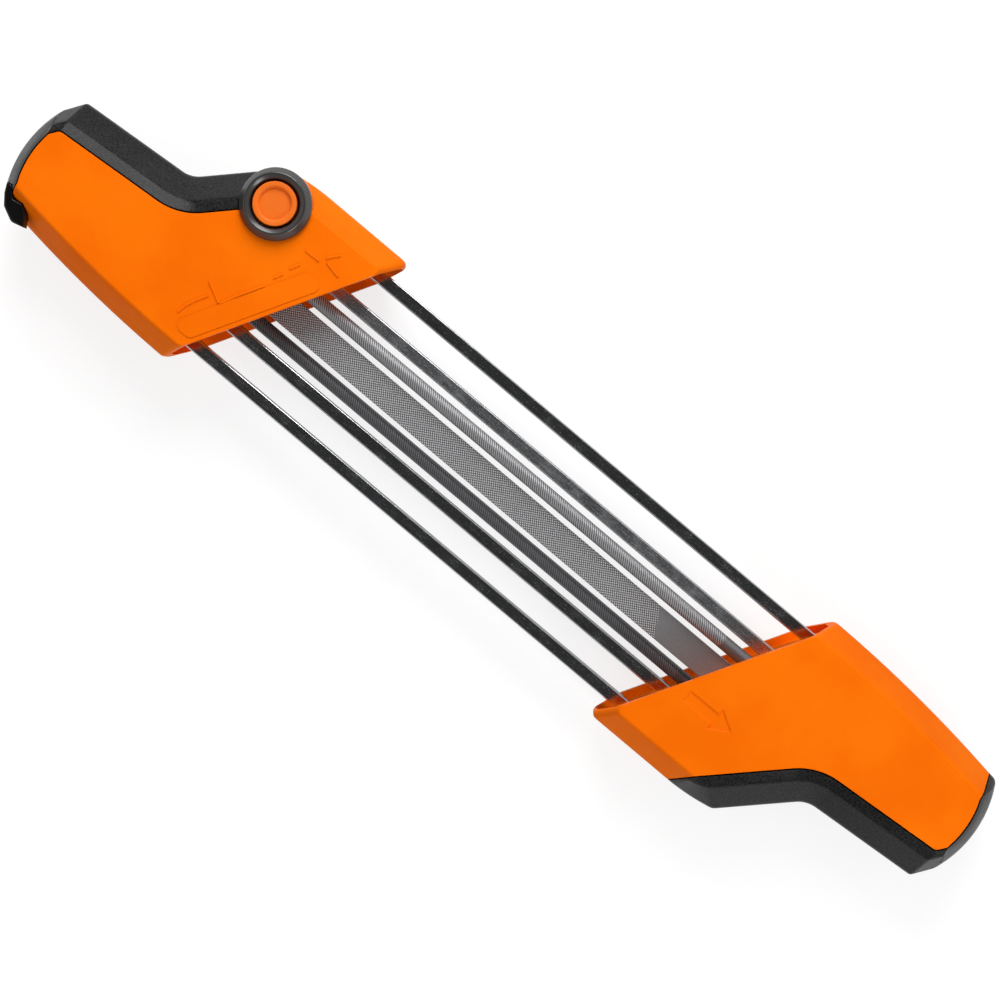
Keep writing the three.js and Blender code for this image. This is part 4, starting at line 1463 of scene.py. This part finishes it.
def edge_at(limit, lean=0.0):
    """The extent of teeth that stop at a line across the file: 1 before the line, and 0 past it."""
    def extent(material, place):
        parts = add(material, "SeparateXYZ", {"Vector": place}).outputs
        reach = maths(material, "ADD", parts["X"], maths(material, "MULTIPLY", parts["Y"], lean))
        return spread(material, reach, (limit - tooth_fade) * mm, (limit + tooth_fade) * mm, 1.0, 0.0)
    return extent


def file_steel(name, teeth_of, toothed, deep, pale, depth):
    """Hardened steel whose teeth come from one function and their extent from another."""
    material, surface, place = new_finish(name, 1.0)
    extent = toothed(material, place)
    grain = noise(material, place, steel_grain_size, 4.0, 0.7)
    smooth_part = maths(material, "MULTIPLY", maths(material, "SUBTRACT", 1.0, extent), smooth_part_shade)
    cut = maths(material, "ADD", maths(material, "MULTIPLY", teeth_of(material, place), extent), smooth_part)
    tone = spread(material, grain, *steel_grain_range, steel_grain_tone, 1.0)
    shade = maths(material, "MULTIPLY", cut, tone)
    # Painted shade and light: the colour runs from dark in the grooves between teeth to pale on their ridges.
    connect(material, blend_colours(material, shade, *zip(painted_teeth_shade_range, (deep, pale))), surface, "Base Color")
    connect(material, spread(material, grain, *steel_grain_range, *steel_gloss), surface, "Roughness")
    bumps(material, surface, (cut, depth), (grain, steel_grain_depth))
    return material


print("gloss of the file steel", steel_gloss)

# %% The three files
flat_teeth_end, flat_teeth_lean = 68.7, 0.537
rear_teeth_end = 89.0
front_teeth_end = 85.0


def rod_middle(node):
    low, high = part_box(node)
    return (low.x + high.x) / mm / 2


flat_teeth = file_steel("flat_file_steel", crossed_teeth, edge_at(flat_teeth_end, flat_teeth_lean),
                        (0.11, 0.11, 0.115), (0.76, 0.76, 0.77), 0.05)
rear_teeth = file_steel("rear_file_steel", wound_teeth,
                        edge_at(rear_teeth_end - rod_middle("round_file_rear")),
                        (0.1, 0.1, 0.105), (0.46, 0.46, 0.47), 0.06)
# Painted shade: the front file is the same steel as the rear one, coloured darker.
shaded_front_teeth = file_steel("front_file_steel_painted_shade", wound_teeth,
                         edge_at(front_teeth_end - rod_middle("round_file_front")),
                         (0.07, 0.07, 0.075), (0.2, 0.2, 0.21), 0.05)
print("finishes", len(bpy.data.materials))

# %% [markdown]
# ## Dressing the pieces
# Each piece gets its finish. The packed pieces that kept their shape, such as the blocks that hold the bars,
# only need a better material.

# %% Finishes on the pieces
def dress(piece, material):
    piece.data.materials.clear()
    piece.data.materials.append(material)
    for face in piece.data.polygons:
        face.material_index = 0


for piece in (right_top, right_bottom, left_base, left_cover, lip, *drawn):
    dress(piece, orange_shell)
dress(button, orange_button)
for piece in (right_grip, left_grip):
    dress(piece, black_grip)
dress(ring, black_ring)
dress(finger_tab, black_tab)
for piece in (*screws, spring):
    dress(piece, zinc_screw)
for name in bars:
    dress(rods[name], worn_bar if name == "inner_bar_rear" else bright_bar)
file_finishes = {"flat_file": flat_teeth, "round_file_rear": rear_teeth, "round_file_front": shaded_front_teeth}
for name, material in file_finishes.items():
    dress(rods[name], material)

kept = {"left_carrier": grey_block, "right_carrier": grey_block, "pivot_sleeve": bright_bar}
for side in ("left", "right"):
    for number in (1, 2, 3, 4):
        kept[f"{side}_bar_pin_{number}"] = zinc_screw
for name, material in kept.items():
    dress(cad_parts[name], material)
print("packed pieces kept", len(kept))

# %% [markdown]
# ## Clearing the bench
# The cutting tools have done their work. They are deleted, not just hidden, so that none is left in the
# scene. A hidden tool would still be exported, so they are deleted.

# %% Clear the bench
for cutter in bench:
    shape = cutter.data
    bpy.data.objects.remove(cutter)
    bpy.data.meshes.remove(shape)
print("tools cleared", len(bench))

# %% [markdown]
# ## The floor
# The floor is plain, pale and wide. It should look white and still keep the tool's shadow, so its
# material adds a soft glow that only shows, straight on or mirrored, and never lights the tool. The lamps
# don't reach far out on the floor. There the glow is a little stronger, so that the floor stays white.

# %% The floor
floor_size = 12.0
floor_drop = 0.0003
floor_rough = 0.9
floor_cloud_size, floor_cloud_range = 90.0, (0.3, 0.7)
floor_tones = (0.28, 0.28, 0.28), (0.31, 0.31, 0.31)
floor_glow = 0.76
far_glow = 0.93
glow_edge = (0.6, 1.6)


def seen_rays(material):
    """1 for rays that show a surface, straight, mirrored or through glass, and 0 for those that light it."""
    rays = add(material, "LightPath").outputs
    seen = maths(material, "ADD", rays["Is Camera Ray"], rays["Is Glossy Ray"])
    return maths(material, "MINIMUM", maths(material, "ADD", seen, rays["Is Transmission Ray"]), 1.0)


def floor_finish():
    material, surface, place = new_finish("pale_floor")
    cloud = noise(material, place, floor_cloud_size, 3.0)
    tone = blend_colours(material, cloud, *zip(floor_cloud_range, floor_tones))
    connect(material, tone, surface, "Base Color")
    surface.inputs["Roughness"].default_value = floor_rough
    distance = add(material, "VectorMath", {0: place}, operation="LENGTH").outputs["Value"]
    level = spread(material, distance, *glow_edge, floor_glow, far_glow)
    glow = add(material, "Emission", {"Strength": maths(material, "MULTIPLY", seen_rays(material), level)})
    both = add(material, "AddShader")
    connect(material, surface.outputs["BSDF"], both, 0)
    connect(material, glow.outputs["Emission"], both, 1)
    connect(material, both.outputs["Shader"], material.node_tree.nodes["Material Output"], "Surface")
    return material


half_floor = floor_size / 2 / mm
around = (-1, -1), (1, -1), (1, 1), (-1, 1)
floor_corners = [(x * half_floor, y * half_floor, -floor_drop / mm) for x, y in around]
floor = mesh_piece("floor", floor_corners, [(0, 1, 2, 3)])
floor.data.materials.append(floor_finish())
floor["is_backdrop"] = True
print("width of the floor in metres", floor_size)

# %% [markdown]
# ## Sky and lamps
# The sky lights the tool evenly. Straight above it hangs a dark patch, like the hole where a
# photographer's camera looks through a white tent: it is what the flat tops of bright bars show. Near
# the horizon the sky also shows as a white backdrop, in the same way as the floor glows.
#
# Three soft lamps give the forms their light and shade. The strongest stands behind the tool, to the left.

# %% The sky
sky_strength = 0.5
hole_edge = (0.88, 0.97)
hole_level = 0.06
backdrop_edge = (0.12, 0.3)


def make_sky():
    """An even sky with a dark hole overhead. Near the horizon it shows as a white backdrop."""
    world = bpy.data.worlds.new("studio")
    bpy.context.scene.world = world
    world.use_nodes = True
    background = world.node_tree.nodes["Background"]
    background.inputs["Color"].default_value = (1.0, 1.0, 1.0, 1.0)
    way = add(world, "TexCoord").outputs["Generated"]
    height = add(world, "SeparateXYZ", {"Vector": way}).outputs["Z"]
    even = maths(world, "MULTIPLY", spread(world, height, *hole_edge, 1.0, hole_level), sky_strength)
    near_horizon = spread(world, height, *backdrop_edge, 1.0 - sky_strength, 0.0)
    backdrop = maths(world, "MULTIPLY", seen_rays(world), near_horizon)
    connect(world, maths(world, "ADD", even, backdrop), background, "Strength")


make_sky()
print("strength of the sky", sky_strength)

# %% The lamps
lamp_aim = Vector((0.0, 0.0, 0.016))
# A lamp's name, its place and its width in metres, and its power in watts.
lamps = [
    ("key_lamp", (-0.45, 0.74, 0.62), 0.7, 9.0),
    ("right_lamp", (0.78, -0.25, 0.5), 0.4, 2.9),
    ("left_lamp", (-0.6, -0.5, 0.7), 0.4, 0.2),
]


def soft_lamp(name, place, width, power):
    light = bpy.data.lights.new(name, "AREA")
    light.shape = "DISK"
    light.size = width
    light.energy = power
    lamp = bpy.data.objects.new(name, light)
    bpy.context.scene.collection.objects.link(lamp)
    lamp.location = place
    lamp.rotation_mode = "QUATERNION"
    lamp.rotation_quaternion = (lamp_aim - Vector(place)).to_track_quat("-Z", "Y")


for lamp in lamps:
    soft_lamp(*lamp)
print("lamps", len(lamps))

# %% [markdown]
# ## The camera
# The photograph was taken from almost straight above. We take the camera to be about 70 centimetres
# away, so that what stands higher looks a little larger. It was turned too: the rods run across the
# picture from corner to corner. Its place, its aim and its lens are set to match that.

# %% The camera
camera_place = Vector((0.0, 0.030, 0.696))
camera_aim = Vector((0.0024, -0.0026, 0.016))
picture_up = Vector((-0.6434, 0.7655, 0.0))
camera_lens = 73.4
sensor_width = 36.0


def place_camera():
    """A camera that looks down on the tool, with a chosen direction up in its picture."""
    camera = bpy.data.objects.new("camera", bpy.data.cameras.new("camera"))
    bpy.context.scene.collection.objects.link(camera)
    camera.data.lens = camera_lens
    camera.data.sensor_width = sensor_width
    ahead = (camera_aim - camera_place).normalized()
    right = ahead.cross(picture_up).normalized()
    up = right.cross(ahead)
    turn = Matrix((right, up, -ahead)).transposed()
    camera.matrix_world = Matrix.Translation(camera_place) @ turn.to_4x4()
    bpy.context.scene.camera = camera


place_camera()
bpy.context.scene.view_settings.view_transform = "Standard"
print("distance of the camera in metres", round((camera_aim - camera_place).length, 3))

# %% [markdown]
# ## How far the finished look has grown past the imported model is measured and printed.
# The finished look must not have grown past the imported model.

# %% Compare the boxes and finish
finished_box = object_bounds()
growth = [max(packed_box[0][axis] - finished_box[0][axis], finished_box[1][axis] - packed_box[1][axis]) / mm
          for axis in range(3)]
print("growth past the packed box in mm", [round(value, 3) for value in growth])
